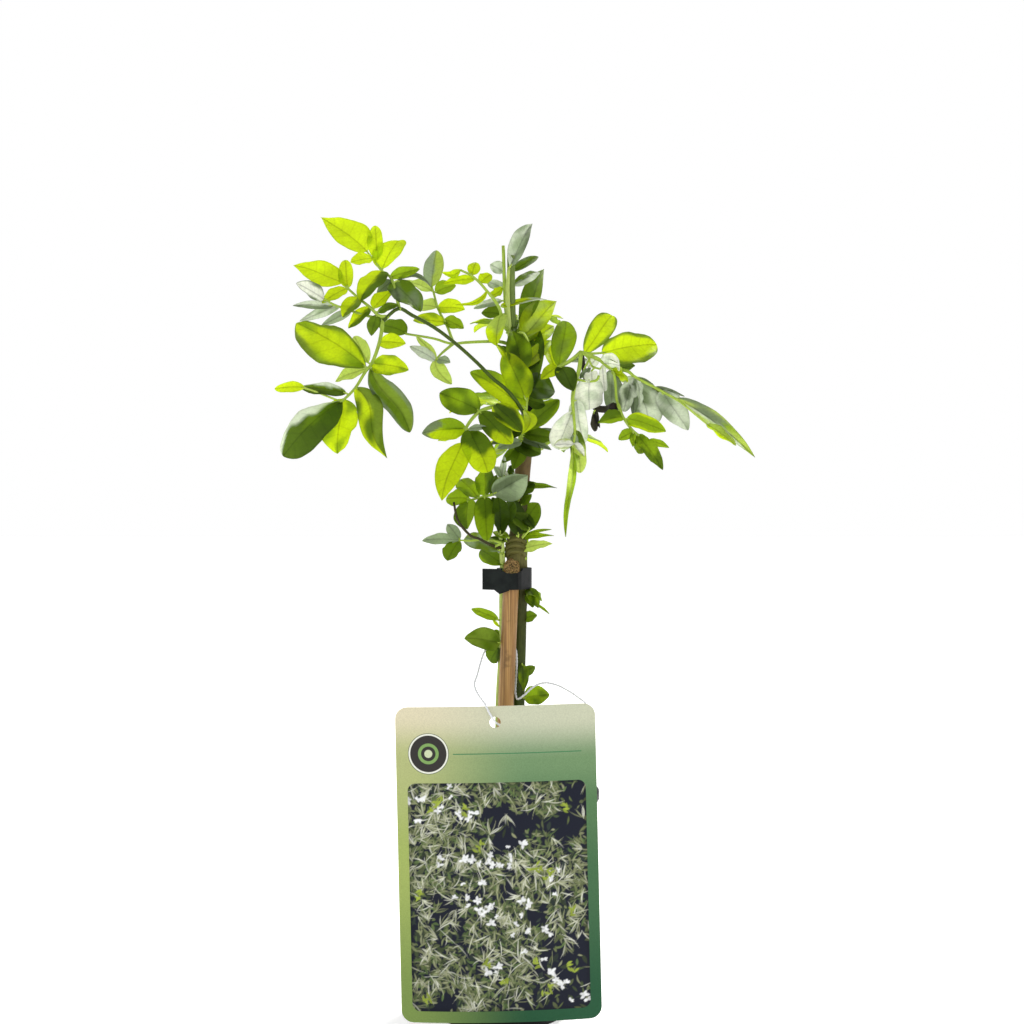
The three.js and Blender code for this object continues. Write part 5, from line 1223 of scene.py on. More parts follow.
# %% Grow the dense centre
CENTRE_STEMS = [
    [
        (12, 253, 4, 1.3), (9.5, 257, -2.5, 1.2), (10, 264, -7, 1.1), (11.5, 272, -9.5, 1.05),
        (11.8, 280, -10, 1), (11, 288, -9, 0.9), (10.4, 293, -8, 0.8),
    ],
]
CENTRE_LEAVES = [
    {"depth": -10, "face": (0.1, -0.85, 0.45), "leaflets": [
        (10.6, 289, 5.4, 307.6, 11.6, "green~dark", {"y": -10}),
        (12.6, 279.6, 16.2, 310, 11, "deep~dark", {"y": -10, "deep": 5, "taper": 1.2}),
        (11.4, 276.6, 2.2, 297.6, 12.6, "lime~green", {"y": -12, "deep": -7, "taper": 1.1}),
        (11.3, 272.5, -13.6, 288.6, 10.4, "lime>green", {"y": -12, "deep": -9, "cut": 0.68, "taper": 1.1}),
        (11.4, 273.4, 1.2, 285.6, 9.4, "lime~green", {"y": -10.5, "deep": -5, "taper": 1.2}),
        (11, 285, -2, 301.4, 5, "dark/lime", {"y": -10, "deep": 8}),
        (11.8, 281.5, 25, 279.8, 12, "deep~slate", {"y": -9, "deep": 2, "taper": 1.15}),
        (11.6, 276, 20.6, 273.4, 6.5, "deep", {"y": -8.4, "deep": 3}),
        (11.4, 274, 12.4, 290.5, 7, "deep", {"y": -9, "deep": 4, "belly": 0.55}),
        (11.2, 272.4, 6.6, 283.4, 6, "dark", {"y": -8.6, "deep": 2}),
        (11.8, 262.4, 27, 276.2, 9, "dark|green", {"y": -8, "deep": -4, "belly": 0.45}),
        (10.2, 260.4, 24.2, 258.4, 7, "dark", {"y": -7, "belly": 0.55}),
        (11.4, 259.4, 26.8, 262, 4, "slate", {"y": -6, "deep": 3}),
        (9.6, 258, 23.5, 253.4, 3.6, "slate", {"y": -4}),
        (5.8, 256, 18.5, 251.4, 7.6, "deep", {"y": -3, "deep": -3, "belly": 0.55}),
        (11, 271.4, 10, 260.5, 6, "lime", {"y": -13, "arc": -3, "deep": -6}),
        (9.6, 257, -1, 254, 5, "grey", {"y": -5, "deep": -4}),
        (2.2, 254, -3.2, 251.6, 3.2, "soft|pale", {"y": -6}),
        (9.6, 254, 6, 244.6, 7, "dark", {"y": -1, "deep": -5}),
        (8.4, 253.4, 1, 247.4, 5, "dark", {"y": -0.4, "deep": -3}),
        (10.2, 266, -1, 262, 7, "dark", {"y": -9, "deep": -12}),
        (9.6, 263, -1.4, 257.6, 6, "deep", {"y": -7, "deep": -3}),
        (9.8, 262, -4.6, 255.6, 4, "slate~deep", {"y": -6, "deep": -1}),
        (9.9, 258, 14.6, 250.2, 5, "deep", {"y": -3, "deep": 1}),
    ]},
    {"depth": -9, "face": (0.3, -0.75, 0.55), "leaflets": [
        (10.8, 290.5, 23.5, 303, 6.5, "lime", {"y": -8, "deep": 4}),
        (10.4, 292.6, 9.5, 312, 6, "green", {"y": -8, "deep": 3}),
        (10.6, 291.5, 0.6, 300.6, 4.4, "dark", {"y": -8.2, "deep": 2}),
        (10.8, 289.5, 19.6, 297, 6, "deep", {"y": -8.6, "deep": 3}),
        (10.5, 292, 4.6, 316, 4.4, "dark", {"y": -7.6, "deep": 5}),
    ]},
]

grow_shoot("centre_foliage", CENTRE_STEMS, CENTRE_LEAVES, "leaf", "centre_shoot", 17)

# %% [markdown]
# ## The right shoot
#
# The right shoot has wilted a little. Its leaves hang over and turn their pale undersides to the
# front, and a withered stub stands among them.

# %% Grow the right shoot
RIGHT_STEMS = [
    [
        (13.5, 281, 6.5, 1.1), (15.5, 284.5, 3, 1), (20, 287.5, 0, 0.95), (27, 291, -3, 0.9),
        (33, 294.5, -4, 0.9), (37, 298, -5, 0.9),
    ],
    [
        (36.8, 297.6, -5, 0.95), (36, 290, -7, 0.95), (34, 283, -9, 0.9), (33, 276.5, -10, 0.85),
        (33.4, 270, -11, 0.7), (34, 262, -12, 0.6), (33.2, 254, -12, 0.55),
    ],
    [(35, 285.2, -8.6, 0.7), (40, 284.4, -9, 0.6), (44, 285, -9, 0.6), (45, 287, -9, 0.55)],
    [(37.5, 297.4, -5, 0.6), (40, 295, -6, 0.45), (42, 291.2, -7, 0.45), (45.4, 290, -8, 0.45)],
    [(51.5, 290, -4, 0.7), (52.5, 283, -2, 0.65), (53, 276, -3, 0.6), (55, 270, -5, 0.6)],
    [
        (37, 297, -4, 1.1), (38.5, 288, 3, 1.1), (40.5, 279, 5, 1.2), (43.5, 272.6, 3, 1.5),
        (48, 271.6, -1, 1.6), (50.6, 272.2, -3.5, 2.1), (51.8, 272.5, -6, 2.3),
    ],
]
RIGHT_LEAVES = [
    {"depth": -5, "face": (0.25, 0.75, 0.6), "thick": 0.9,
     "stalk": [
        (36.6, 297.6), (45.5, 294), (50, 290.5), (58, 289), (61, 286.6), (70, 281.8),
        (80.5, 276), (82, 275),
     ],
     "leaflets": [
        (81, 276.6, 116, 250, 6.6, "slate/pale>green~soft", {"arc": 0.6, "belly": 0.38,
            "taper": 1.5, "cut": 0.7, "sway": 0, "twist": 0, "lean": 0.1}),
        (94, 265, 107.4, 255.4, 4, "soft/lime", {"deep": -0.6, "roll": 6, "wave": 1.2, "taper": 1.2}),
        (46, 293, 54.4, 291.6, 8.6, "white~pale", {"deep": -3, "belly": 0.5, "taper": 0.7, "roll": 8}),
        (44, 295, 40, 290.6, 5.4, "white", {"deep": -2, "taper": 0.8}),
        (53, 289.8, 61.4, 291.6, 4.6, "deep", {"deep": 5}),
        (50.8, 289.6, 58.4, 284.6, 5.4, "lime|soft", {"deep": -6, "roll": 20, "lean": -0.2, "crumple": 0.4}),
        (51, 289.4, 50.4, 271.2, 8.4, "slate~grey", {"deep": 3, "belly": 0.5, "taper": 0.8, "crumple": 0.5}),
        (61.6, 286.4, 68.4, 264.8, 15, "grey>pale~slate", {"deep": 2, "roll": 10,
            "belly": 0.55, "taper": 0.9, "crumple": 0.8, "cut": 0.4}),
        (61, 286.6, 56, 270.6, 8.4, "pale~slate", {"deep": -3, "roll": -15, "taper": 0.9, "crumple": 0.9}),
        (62.4, 285.8, 63.6, 272.4, 3, "pale", {"deep": -5, "roll": 30, "crumple": 0.4}),
        (60.4, 286.4, 60.4, 269, 5, "slate", {"deep": 1, "crumple": 0.5, "taper": 1}),
        (70, 281.8, 79, 268, 8, "slate~olive", {"deep": 5, "crumple": 0.4}),
        (73, 280, 85.5, 262.4, 11.6, "pale~grey", {"roll": -10, "crumple": 0.3, "taper": 1.2}),
        (70, 281.8, 84, 277.6, 1.8, "slate/pale", {"deep": 3}),
        (36.4, 286, 41.2, 290.6, 3, "slate", {"y": -6}),
    ]},
    {"depth": -5, "face": (0.1, -0.8, 0.55),
     "stalk": [(37, 297.6), (40, 297), (48, 297.4)],
     "leaflets": [
        (38.5, 297.2, 50.8, 314.4, 11.2, "lime|olive", {"roll": 8, "belly": 0.6, "taper": 1,
            "wave": 0.4, "lean": 0, "twist": 0, "curl": 0}),
        (46.4, 297.2, 71.2, 301, 15, "lime|olive", {"bow": 0.06, "belly": 0.48, "taper": 1.05,
            "wave": 0.5, "lean": 0.2, "twist": 0, "curl": 0}),
    ]},
    {"depth": -9, "face": (-0.2, 0.8, 0.5), "leaflets": [
        (40.4, 285, 40.6, 271.4, 13.6, "white~pale", {"y": -9.6, "belly": 0.6, "taper": 0.36,
            "crumple": 0.3, "lean": 0.05, "sway": 0, "twist": 10}),
        (41.6, 289, 41.8, 284, 6.4, "white", {"y": -8.6, "taper": 0.6, "crumple": 0.3}),
        (46.6, 291.4, 47.6, 280, 3.6, "white|pale", {"y": -9.2, "belly": 0.5, "taper": 0.6, "crumple": 0.3}),
        (34.6, 275.6, 37.6, 256, 8.4, "pale~white", {"y": -10.4, "belly": 0.55, "deep": -2,
            "taper": 0.62, "crumple": 0.3, "sway": 0}),
        (34.6, 262, 36.6, 242.8, 7.4, "dark>soft", {"y": -12, "belly": 0.55, "taper": 0.9,
            "cut": 0.58, "crumple": 0.4}),
        (33.4, 260, 34.6, 255, 3.4, "grey", {"y": -12.6, "taper": 0.8}),
        (32.8, 271, 26.4, 253.4, 12, "white~pale", {"y": -10.5, "belly": 0.66, "deep": -6,
            "crumple": 0.35, "taper": 1.2}),
        (33.4, 256, 24.4, 255.4, 4.6, "white|soft", {"y": -13, "deep": -1, "crumple": 0.3}),
        (33.4, 256, 38.2, 250.4, 5, "white/soft", {"y": -13, "deep": -2, "crumple": 0.3, "taper": 1.2}),
        (33.2, 254, 29.8, 213.3, 3.6, "soft/green>green", {"y": -12, "arc": 1, "belly": 0.4,
            "cut": 0.45, "wave": 1.2, "sway": 0.015}),
        (43.5, 272.6, 43.2, 261.6, 3.8, "husk", {"y": 3, "deep": -3, "belly": 0.6, "crumple": 0.5}),
        (42.6, 270.4, 45.4, 263.2, 2, "husk", {"y": 2, "crumple": 0.4}),
        (47, 271.6, 50.4, 266.8, 1.4, "husk", {"y": 0}),
    ]},
    {"depth": -5, "face": (0.15, -0.8, 0.5),
     "stalk": [(53.6, 274), (55, 270), (56, 268), (60, 262.4), (63, 260), (67.5, 257.4)],
     "leaflets": [
        (56, 268.2, 44.4, 265.6, 6.4, "dark/green", {"bow": 0.08, "belly": 0.34, "lean": 0.2}),
        (57.5, 267.4, 75.5, 261.8, 7.6, "green|lime", {"deep": -3, "taper": 1.2}),
        (61, 261.4, 53.8, 258, 5, "green", {"deep": 3}),
        (60.6, 261, 60.4, 254.6, 3.6, "green", {"deep": 2}),
        (62.6, 260.2, 74, 244.3, 6.6, "green>dark", {"deep": -4, "roll": 15, "wave": 1.3}),
        (67.3, 257.5, 77, 254.4, 3.4, "green"),
        (62.9, 259.4, 64.4, 251.4, 5.6, "green~olive", {"deep": 4, "wave": 1.2, "taper": 1, "belly": 0.6}),
    ]},
    {"depth": -3, "face": (0.1, -0.8, 0.5), "leaflets": [
        (26.8, 291, 30, 311.7, 11.4, "green~olive", {"y": -3, "belly": 0.55, "taper": 1.2}),
        (26.5, 291, 18.6, 285.6, 6, "lime", {"y": -3, "deep": -4}),
        (27.4, 291, 33.4, 280, 9, "deep", {"y": -3, "deep": -5}),
        (25, 290.2, 19.6, 303, 5, "lime", {"y": -2, "deep": 8}),
        (31, 293.4, 41, 294, 2.2, "grey", {"y": -4, "deep": 6}),
    ]},
]

RIGHT_TINTS = ["stalk"] * 5 + ["husk"]
grow_shoot("right_foliage", RIGHT_STEMS, RIGHT_LEAVES, "leaf", "right_shoot", 18, RIGHT_TINTS)

# %% [markdown]
# ## Shoots at the back
#
# Seen from behind, the plant would look bare if only the leaves of the front were made. These three
# shoots are grown by rule: a short stem with three feathered leaves that spread to both sides, each
# with two pairs of leaflets and one at its end. No picture shows them, so a rule does as well.

# %% Grow the back shoots
BACK_SHOOTS = {
    "back_shoot_low": {"start": (11.5, 8, 248), "heading": 74, "rise": 24, "reach": 60, "leaf": 44},
    "back_shoot_middle": {"start": (14, 8, 263.5), "heading": 112, "rise": 30, "reach": 56, "leaf": 42},
    "back_shoot_high": {"start": (7, 9.5, 302), "heading": 88, "rise": 34, "reach": 48, "leaf": 36},
}
BACK_TINTS = ["lime", "green", "green/dark", "lime/green", "dark>green"]
BACK_STEM_SHARE, BACK_STEM_DROOP = 0.55, 0.1
BACK_STEM_STOPS, BACK_STEM_RADII = (0, 0.33, 0.67, 1), [1.2, 1.1, 1, 0.8]
BACK_STALK_SHARE, BACK_STALK_DROOP = 0.6, 0.32
BACK_STALK_STOPS, BACK_STALK_RADII = (0, 0.45, 0.75, 1), [0.8, 0.72, 0.65, 0.55]
BACK_SPREAD, BACK_LIFT = 38, 10
END_LEAFLET_SHARE, SIDE_LEAFLET_SHARE = 0.52, 0.8
BACK_WIDTH_RATIO, BACK_LEAFLET_BOW = 0.4, 0.09
LEAFLET_FORWARD = 0.75
LEAFLET_HANG = Vector((0, 0, 0.28))


def direction_of(heading, rise):
    turn, lift = math.radians(heading), math.radians(rise)
    return Vector((math.cos(turn) * math.cos(lift), math.sin(turn) * math.cos(lift), math.sin(lift)))


def drooping_line(start, out, length, droop, stops):
    return [start + out * length * t - Vector((0, 0, droop * length * t * t)) for t in stops]


def add_feathered_leaf(growth, start, heading, rise, length, draw):
    out = direction_of(heading, rise)
    points = drooping_line(start, out, length * BACK_STALK_SHARE, BACK_STALK_DROOP, BACK_STALK_STOPS)
    add_stalk(growth, points, BACK_STALK_RADII)
    aside = out.cross(Vector((0, 0, 1))).normalized()
    full = length * END_LEAFLET_SHARE
    plans = []
    for i in (1, 2):
        along = (points[i] - points[i - 1]).normalized()
        for side in (-1, 1):
            reach = along * LEAFLET_FORWARD + aside * side - LEAFLET_HANG
            plans.append((points[i], reach, full * SIDE_LEAFLET_SHARE, aside.cross(along)))
    last = (points[3] - points[2]).normalized() - LEAFLET_HANG
    plans.append((points[3], last, full, aside.cross(last)))
    for base, reach, size, face in plans:
        tip = base + reach.normalized() * size
        width = size * BACK_WIDTH_RATIO
        tint = draw.choice(BACK_TINTS)
        more = {"bow": BACK_LEAFLET_BOW}
        leaflet = leaflet_at(base, tip, face.normalized(), width, tint, None, draw, **more)
        add_blade(growth, leaflet, draw)


for seed, (node, plan) in enumerate(BACK_SHOOTS.items(), 31):
    draw = random.Random(seed)
    growth = Growth()
    out = direction_of(plan["heading"], plan["rise"])
    length = plan["reach"] * BACK_STEM_SHARE
    droop = BACK_STEM_DROOP / BACK_STEM_SHARE
    points = drooping_line(Vector(plan["start"]), out, length, droop, BACK_STEM_STOPS)
    add_shoot_stem(growth, points, BACK_STEM_RADII, "stalk")
    for i, turn in enumerate((BACK_SPREAD, -BACK_SPREAD, 0)):
        heading, rise = plan["heading"] + turn, plan["rise"] + BACK_LIFT
        add_feathered_leaf(growth, points[i + 1], heading, rise, plan["leaf"], draw)
    dress(growth.build(node.replace("shoot", "foliage"), [leaf.material, stem.material]), "leaf", node)

# %% [markdown]
# ## The finish of bamboo
#
# Dry bamboo is tan with lighter fibres along it and a few dark spots. Noise stretched upwards makes
# the fibres. The cut shows their ends, tan with dark pores. One finish does both: the tint is one at
# the corners of the cut and nought elsewhere.

# %% Mix the finish of bamboo
bamboo = Finish("dry_bamboo", 0.5, 0.4)
grain = bamboo.noise(1.0, 5, 0.65, bamboo.stretch(1500, 1500, 28))
broad = bamboo.noise(1.0, 3, 0.5, bamboo.stretch(420, 420, 14))
spots = bamboo.step(bamboo.noise(160, 3, 0.6), 0.58, 0.75)
wood = bamboo.mix(bamboo.step(broad, 0.3, 0.7), colour(112, 80, 40), colour(160, 118, 66))
wood = bamboo.mix(bamboo.step(grain, 0.42, 0.72), wood, colour(188, 148, 88))
wood = bamboo.mix(bamboo.math("MULTIPLY", spots, 0.55), wood, colour(84, 60, 30))
pores = bamboo.step(bamboo.noise(1300, 4, 0.7), 0.4, 0.62)
fibre_ends = bamboo.mix(pores, colour(58, 50, 24), colour(178, 142, 92))
bamboo.bump(grain, 0.0002, 0.6)
bamboo.paint(bamboo.mix(bamboo.read("tint")["Fac"], wood, fibre_ends))
print("nodes in the bamboo's finish:", len(bamboo.tree.nodes))

# %% [markdown]
# ## The bamboo cane
#
# The cane is a whole stick of bamboo, nearly straight, with one joint swollen low down. It is cut at a
# slant. Each of its upright lines of corners ends where it meets the slanting plane, so the cut needs
# no separate tool, and rings of corners that get smaller fill it.

# %% Cut the cane
CANE_RADIUS, CANE_SKIN = 3.7, 0.08
CANE_FOOT, CANE_TOP = 20.0, 204.0
CANE_X, CANE_X_HEIGHT, CANE_DEPTH = 2.7, 137.7, -1.2
CANE_LEAN = 0.0423
JOINT_HEIGHT, JOINT_SWELL, JOINT_WIDTH = 113.0, 0.55, 2.2
NECK_HEIGHT, NECK_DENT, NECK_WIDTH = 117, 0.35, 1.2
CUT_SLOPE = math.tan(math.radians(46))
CUT_REACH, CUT_SINK, CUT_CHAMFER = 3.5, 0.2, 0.15
CANE_SIDES, CANE_RINGS, CUT_RINGS = 48, 150, 9
WELD_REACH = 0.00001


def cane_middle(z):
    return in_sight(CANE_X + (z - CANE_X_HEIGHT) * CANE_LEAN, z, CANE_DEPTH)


def bell(z, middle, height, width):
    return height * math.exp(-(((z - middle) / width) ** 2))


def cane_radius(z, angle):
    joint = bell(z, JOINT_HEIGHT, JOINT_SWELL, JOINT_WIDTH) - bell(z, NECK_HEIGHT, NECK_DENT, NECK_WIDTH)
    swell = 0.12 * noise.noise((math.cos(angle) * 1.3, math.sin(angle) * 1.3, z * 0.035))
    ridge = 0.035 * noise.noise((math.cos(angle) * 14, math.sin(angle) * 14, z * 0.02))
    return CANE_RADIUS - CANE_SKIN + joint + swell + ridge


cane = Growth()
cane_turns = [2 * math.pi * k / CANE_SIDES for k in range(CANE_SIDES)]
corners = []
for ring in range(CANE_RINGS + 1):
    for angle in cane_turns:
        front = CANE_RADIUS * (1 - math.sin(angle))
        z = CANE_FOOT + (CANE_TOP - front * CUT_SLOPE - CANE_FOOT) * ring / CANE_RINGS
        middle = cane_middle(z)
        radius = cane_radius(z, angle) - (CUT_CHAMFER if ring == CANE_RINGS else 0)
        corners.append((middle.x + radius * math.cos(angle), middle.y + radius * math.sin(angle), z))
bark_count = len(corners)
for ring in range(1, CUT_RINGS + 1):
    share = 1 - ring / CUT_RINGS
    for angle in cane_turns:
        x, y = share * math.cos(angle) * CUT_REACH, share * math.sin(angle) * CUT_REACH
        z = CANE_TOP - (CANE_RADIUS - y) * CUT_SLOPE
        rough = 0.5 * noise.noise((x * 1.7, y * 1.7, 3.1)) + 0.3 * noise.noise((x * 5, y * 5, 8.2))
        middle = cane_middle(z)
        corners.append((middle.x + x, middle.y + y, z + rough * (1 - share**6) - CUT_SINK))
faces = ring_faces(CANE_RINGS + CUT_RINGS, CANE_SIDES)
faces.append(tuple(range(CANE_SIDES))[::-1])
tints = np.ones((len(corners), 3))
tints[:bark_count] = 0
cane.add(corners, faces, tints, np.zeros((len(corners), 3)), 0)
cane_piece = cane.build("bamboo_cane", [bamboo.material])
weld = bmesh.new()
weld.from_mesh(cane_piece.data)
bmesh.ops.remove_doubles(weld, verts=weld.verts, dist=WELD_REACH)
weld.to_mesh(cane_piece.data)
weld.free()
dress(cane_piece, "bamboo", "cane")

# %% [markdown]
# ## The two bands
#
# Soft dark bands hold the stems to the cane. Their solids already have the right loops and tab, so
# they stay, and only get rounded edges and a finish: nearly black, a little blue-green, with the
# cloudy shine of stretched plastic tape. Towards the right end the finish is darker still, a painted
# shade of the stem beside it.

# %% Finish the bands
PAINTED_SHADE_END = (0.0065, 0.0085)
BAND_ROUNDING, BAND_EDGE_ANGLE = 0.00028, 50

tape = Finish("stretched_tape", 0.5, 0.15)
clouds = tape.noise(180, 4, 0.6)
creases = tape.noise(1.0, 3, 0.6, tape.stretch(300, 300, 900))
tape_colour = tape.mix(tape.step(clouds, 0.35, 0.7), colour(8, 14, 14), colour(24, 30, 28))
# the right end of each band is darkened as painted shade of the stem
painted_shade_right_end = tape.step(tape.split(tape.at)[0], *PAINTED_SHADE_END)
tape.bump(tape.math("ADD", creases, clouds), 0.00025, 0.5)
tape.paint(tape.mix(painted_shade_right_end, tape_colour, colour(6, 9, 9)))
for node in ("lower_tie", "upper_tie"):
    tie = bpy.data.objects[node]
    tie.data.materials.clear()
    tie.data.materials.append(tape.material)
    rounding = tie.modifiers.new("rounding", "BEVEL")
    rounding.width = BAND_ROUNDING
    rounding.segments = 3
    rounding.limit_method = "ANGLE"
    rounding.angle_limit = math.radians(BAND_EDGE_ANGLE)
    rounding.harden_normals = False
    print(node, "faces:", len(tie.data.polygons))

# %% [markdown]
# ## The pot's shape
#
# A nursery pot is blown or moulded thin, with a rolled lip. One profile spun round the axis gives the
# wall, the lip, the floor and the foot. It runs from the middle of the inside over the lip to the
# middle of the underside. A screw modifier would do the same, but needs an edge to start from.

# %% Spin a profile
POT_PROFILE = [
    (0, 3), (28.2, 3), (30.2, 4.5), (41.3, 95.5), (41.3, 99.2), (42.1, 100), (44, 100), (45, 99),
    (45, 95.5), (44, 95.5), (43, 96.5), (42.5, 94.9), (31.5, 3), (30.5, 0), (28, 0), (27.4, 1),
    (8, 1), (7.4, 0), (0, 0),
]
POT_SEGMENTS = 112


def spin(profile, segments):
    points = [(0, 0, profile[0][1])]
    faces = []
    ring_points = profile[1:-1]
    for radius, z in ring_points:
        for k in range(segments):
            turn = 2 * math.pi * k / segments
            points.append((radius * math.cos(turn), radius * math.sin(turn), z))
    points.append((0, 0, profile[-1][1]))
    last = len(points) - 1
    for k in range(segments):
        after = (k + 1) % segments
        faces.append((0, 1 + k, 1 + after))
        for ring in range(len(ring_points) - 1):
            a, b = 1 + ring * segments + k, 1 + ring * segments + after
            faces.append((a, a + segments, b + segments, b))
        tail = 1 + (len(ring_points) - 1) * segments
        faces.append((tail + after, tail + k, last))
    return points, faces


def make_piece(name, points, faces, finish):
    mesh = bpy.data.meshes.new(name)
    mesh.from_pydata([Vector(point) * MM for point in points], [], faces)
    mesh.materials.append(finish)
    mesh.validate()
    piece = bpy.data.objects.new(name, mesh)
    bpy.context.scene.collection.objects.link(piece)
    return piece


print("corners of the spun pot:", len(spin(POT_PROFILE, POT_SEGMENTS)[0]))

# %% [markdown]
# ## The pot and its drain holes
#
# The plastic is black, dusty and a little scuffed. A ring of holes in the floor drains it. They are
# cut by a Boolean, which is safe here since both shapes are closed.

# %% Make the pot and cut its drain holes
DRAIN_COUNT, DRAIN_RADIUS, DRAIN_RING = 6, 3.2, 19.0
DRILL_SIDES, DRILL_HEIGHTS = 24, (-2, 6)
POT_ROUNDING, POT_BEVEL_ANGLE, POT_SHARP_ANGLE = 0.00035, 35, 40


def cut_away(piece, name, tool):
    cutting = piece.modifiers.new(name, "BOOLEAN")
    cutting.operation = "DIFFERENCE"
    cutting.object = tool


def apply_modifiers(piece):
    bpy.context.view_layer.update()
    shaped = piece.evaluated_get(bpy.context.evaluated_depsgraph_get())
    piece.data = bpy.data.meshes.new_from_object(shaped)
    piece.modifiers.clear()


plastic = Finish("black_pot_plastic", 0.55, 0.12)
scuffs = plastic.step(plastic.noise(1.0, 4, 0.7, plastic.stretch(60, 60, 220)), 0.5, 0.8)
dust = plastic.step(plastic.noise(700, 4, 0.75), 0.55, 0.8)
pot_colour = plastic.mix(scuffs, colour(10, 10, 11), colour(24, 24, 25))
plastic.put(plastic.step(scuffs, 0, 1, 0.5, 0.66), plastic.shader.inputs["Roughness"])
plastic.bump(plastic.noise(1200, 3, 0.6), 0.00004, 0.5)
plastic.paint(plastic.mix(plastic.math("MULTIPLY", dust, 0.15), pot_colour, colour(62, 56, 48)))

pot = make_piece("nursery_pot", *spin(POT_PROFILE, POT_SEGMENTS), plastic.material)
drill_points, drill_faces = [], []
for hole in range(DRAIN_COUNT):
    turn = 2 * math.pi * (hole + 0.5) / DRAIN_COUNT
    start = len(drill_points)
    for z in DRILL_HEIGHTS:
        for k in range(DRILL_SIDES):
            angle = 2 * math.pi * k / DRILL_SIDES
            x = DRAIN_RING * math.cos(turn) + DRAIN_RADIUS * math.cos(angle)
            y = DRAIN_RING * math.sin(turn) + DRAIN_RADIUS * math.sin(angle)
            drill_points.append((x, y, z))
    drill_faces.append(tuple(start + k for k in range(DRILL_SIDES))[::-1])
    drill_faces.append(tuple(start + DRILL_SIDES + k for k in range(DRILL_SIDES)))
    drill_faces += ring_faces(1, DRILL_SIDES, start)
drill = make_piece("drill", drill_points, drill_faces, plastic.material)
cut_away(pot, "drain_holes", drill)
softening = pot.modifiers.new("soft_edges", "BEVEL")
softening.width = POT_ROUNDING
softening.segments = 2
softening.limit_method = "ANGLE"
softening.angle_limit = math.radians(POT_BEVEL_ANGLE)
apply_modifiers(pot)
bpy.data.objects.remove(drill)
pot.data.polygons.foreach_set("use_smooth", [True] * len(pot.data.polygons))
pot.data.set_sharp_from_angle(angle=math.radians(POT_SHARP_ANGLE))
dress(pot, "pot_plastic", "pot")
print("pot faces:", len(pot.data.polygons))

# %% [markdown]
# ## The soil
#
# Potting mix fills the pot to a little under the lip and is heaped in the middle. Its top is a disc
# of rings, lifted by two sizes of lumps, and its sides follow the pot's wall. A sculpted mesh could
# look livelier, but most of it hides under the leaves.

# %% Fill the pot
SOIL_TOP, SOIL_HEAP, SOIL_FOOT, SOIL_BRIM = 91.0, 3.0, 3.3, 94.6
SOIL_SIDE_HEIGHTS = (60, 30, SOIL_FOOT + 1.5, SOIL_FOOT)
SOIL_GAP, FOOT_INSET = 0.35, 2
SOIL_RINGS, SOIL_SEGMENTS = 34, 110


def soil_wall(z):
    (foot_radius, foot_z), (top_radius, top_z) = POT_PROFILE[2:4]
    return np.interp(z, [foot_z, top_z], [foot_radius, top_radius]) - SOIL_GAP


def soil_height(x, y):
    share = min(math.hypot(x, y) / soil_wall(SOIL_TOP), 1)
    lumps = noise.noise((x * 0.16, y * 0.16, 2.2)) + 0.7 * noise.noise((x * 0.5, y * 0.5, 5.1))
    return SOIL_TOP + SOIL_HEAP * (1 - share * share) * 0.75 + lumps


earth = Finish("potting_mix", 0.92, 0.25)
damp = earth.step(earth.noise(120, 3, 0.6), 0.35, 0.7, 0.65, 1.15)
grit = earth.step(earth.noise(1800, 4, 0.7), 0.3, 0.7, 0.7, 1.3)
earth.bump(earth.noise(1500, 5, 0.75), 0.0006, 0.9)
earth.paint(earth.scale(earth.read("tint")["Color"], earth.math("MULTIPLY", damp, grit)))

soil = Growth()
corners = [(0, 0, soil_height(0, 0))]
for ring in range(1, SOIL_RINGS + 1):
    radius = soil_wall(SOIL_TOP) * ring / SOIL_RINGS
    for k in range(SOIL_SEGMENTS):
        turn = 2 * math.pi * k / SOIL_SEGMENTS
        x, y = radius * math.cos(turn), radius * math.sin(turn)
        corners.append((x, y, min(soil_height(x, y), SOIL_BRIM)))
for z in SOIL_SIDE_HEIGHTS:
    radius = soil_wall(z) - (FOOT_INSET if z == SOIL_FOOT else 0)
    for k in range(SOIL_SEGMENTS):
        turn = 2 * math.pi * k / SOIL_SEGMENTS
        corners.append((radius * math.cos(turn), radius * math.sin(turn), z))
faces = [(0, 1 + k, 1 + (k + 1) % SOIL_SEGMENTS) for k in range(SOIL_SEGMENTS)]
bands = SOIL_RINGS + len(SOIL_SIDE_HEIGHTS) - 1
for ring in range(bands):
    for k in range(SOIL_SEGMENTS):
        a, b = 1 + ring * SOIL_SEGMENTS + k, 1 + ring * SOIL_SEGMENTS + (k + 1) % SOIL_SEGMENTS
        faces.append((a, a + SOIL_SEGMENTS, b + SOIL_SEGMENTS, b))
bottom = 1 + bands * SOIL_SEGMENTS
faces.append(tuple(bottom + k for k in range(SOIL_SEGMENTS))[::-1])
ground_tint = np.tile(colour(54, 42, 32), (len(corners), 1))
soil.add(corners, faces, ground_tint, np.zeros((len(corners), 3)), 0)
print("corners of the soil:", soil.count)

# %% [markdown]
# ## Crumbs
#
# Up close, potting mix is dark crumbs with a few bright grains. The lifted disc alone would look like
# rubber, so hundreds of small angular crumbs sit in it. They are cut from one twelve-cornered shape,
# each pushed out of round by noise, and all drawn from one seeded series.

# %% Scatter the crumbs
CRUMBS, CRUMB_REACH = 900, 39.2
CRUMB_SIZES, BIG_SHARE, BIG_FACTOR = (0.5, 1.6), 0.15, 1.25
CRUMB_LIFT, CRUMB_ROUGHNESS = 0.15, 0.35
CRUMB_TINTS = [
    colour(58, 44, 32), colour(78, 58, 40), colour(40, 32, 26), colour(100, 78, 54), colour(206, 202, 192),
]
CRUMB_SHARES = (4, 4, 3, 2, 0.5)

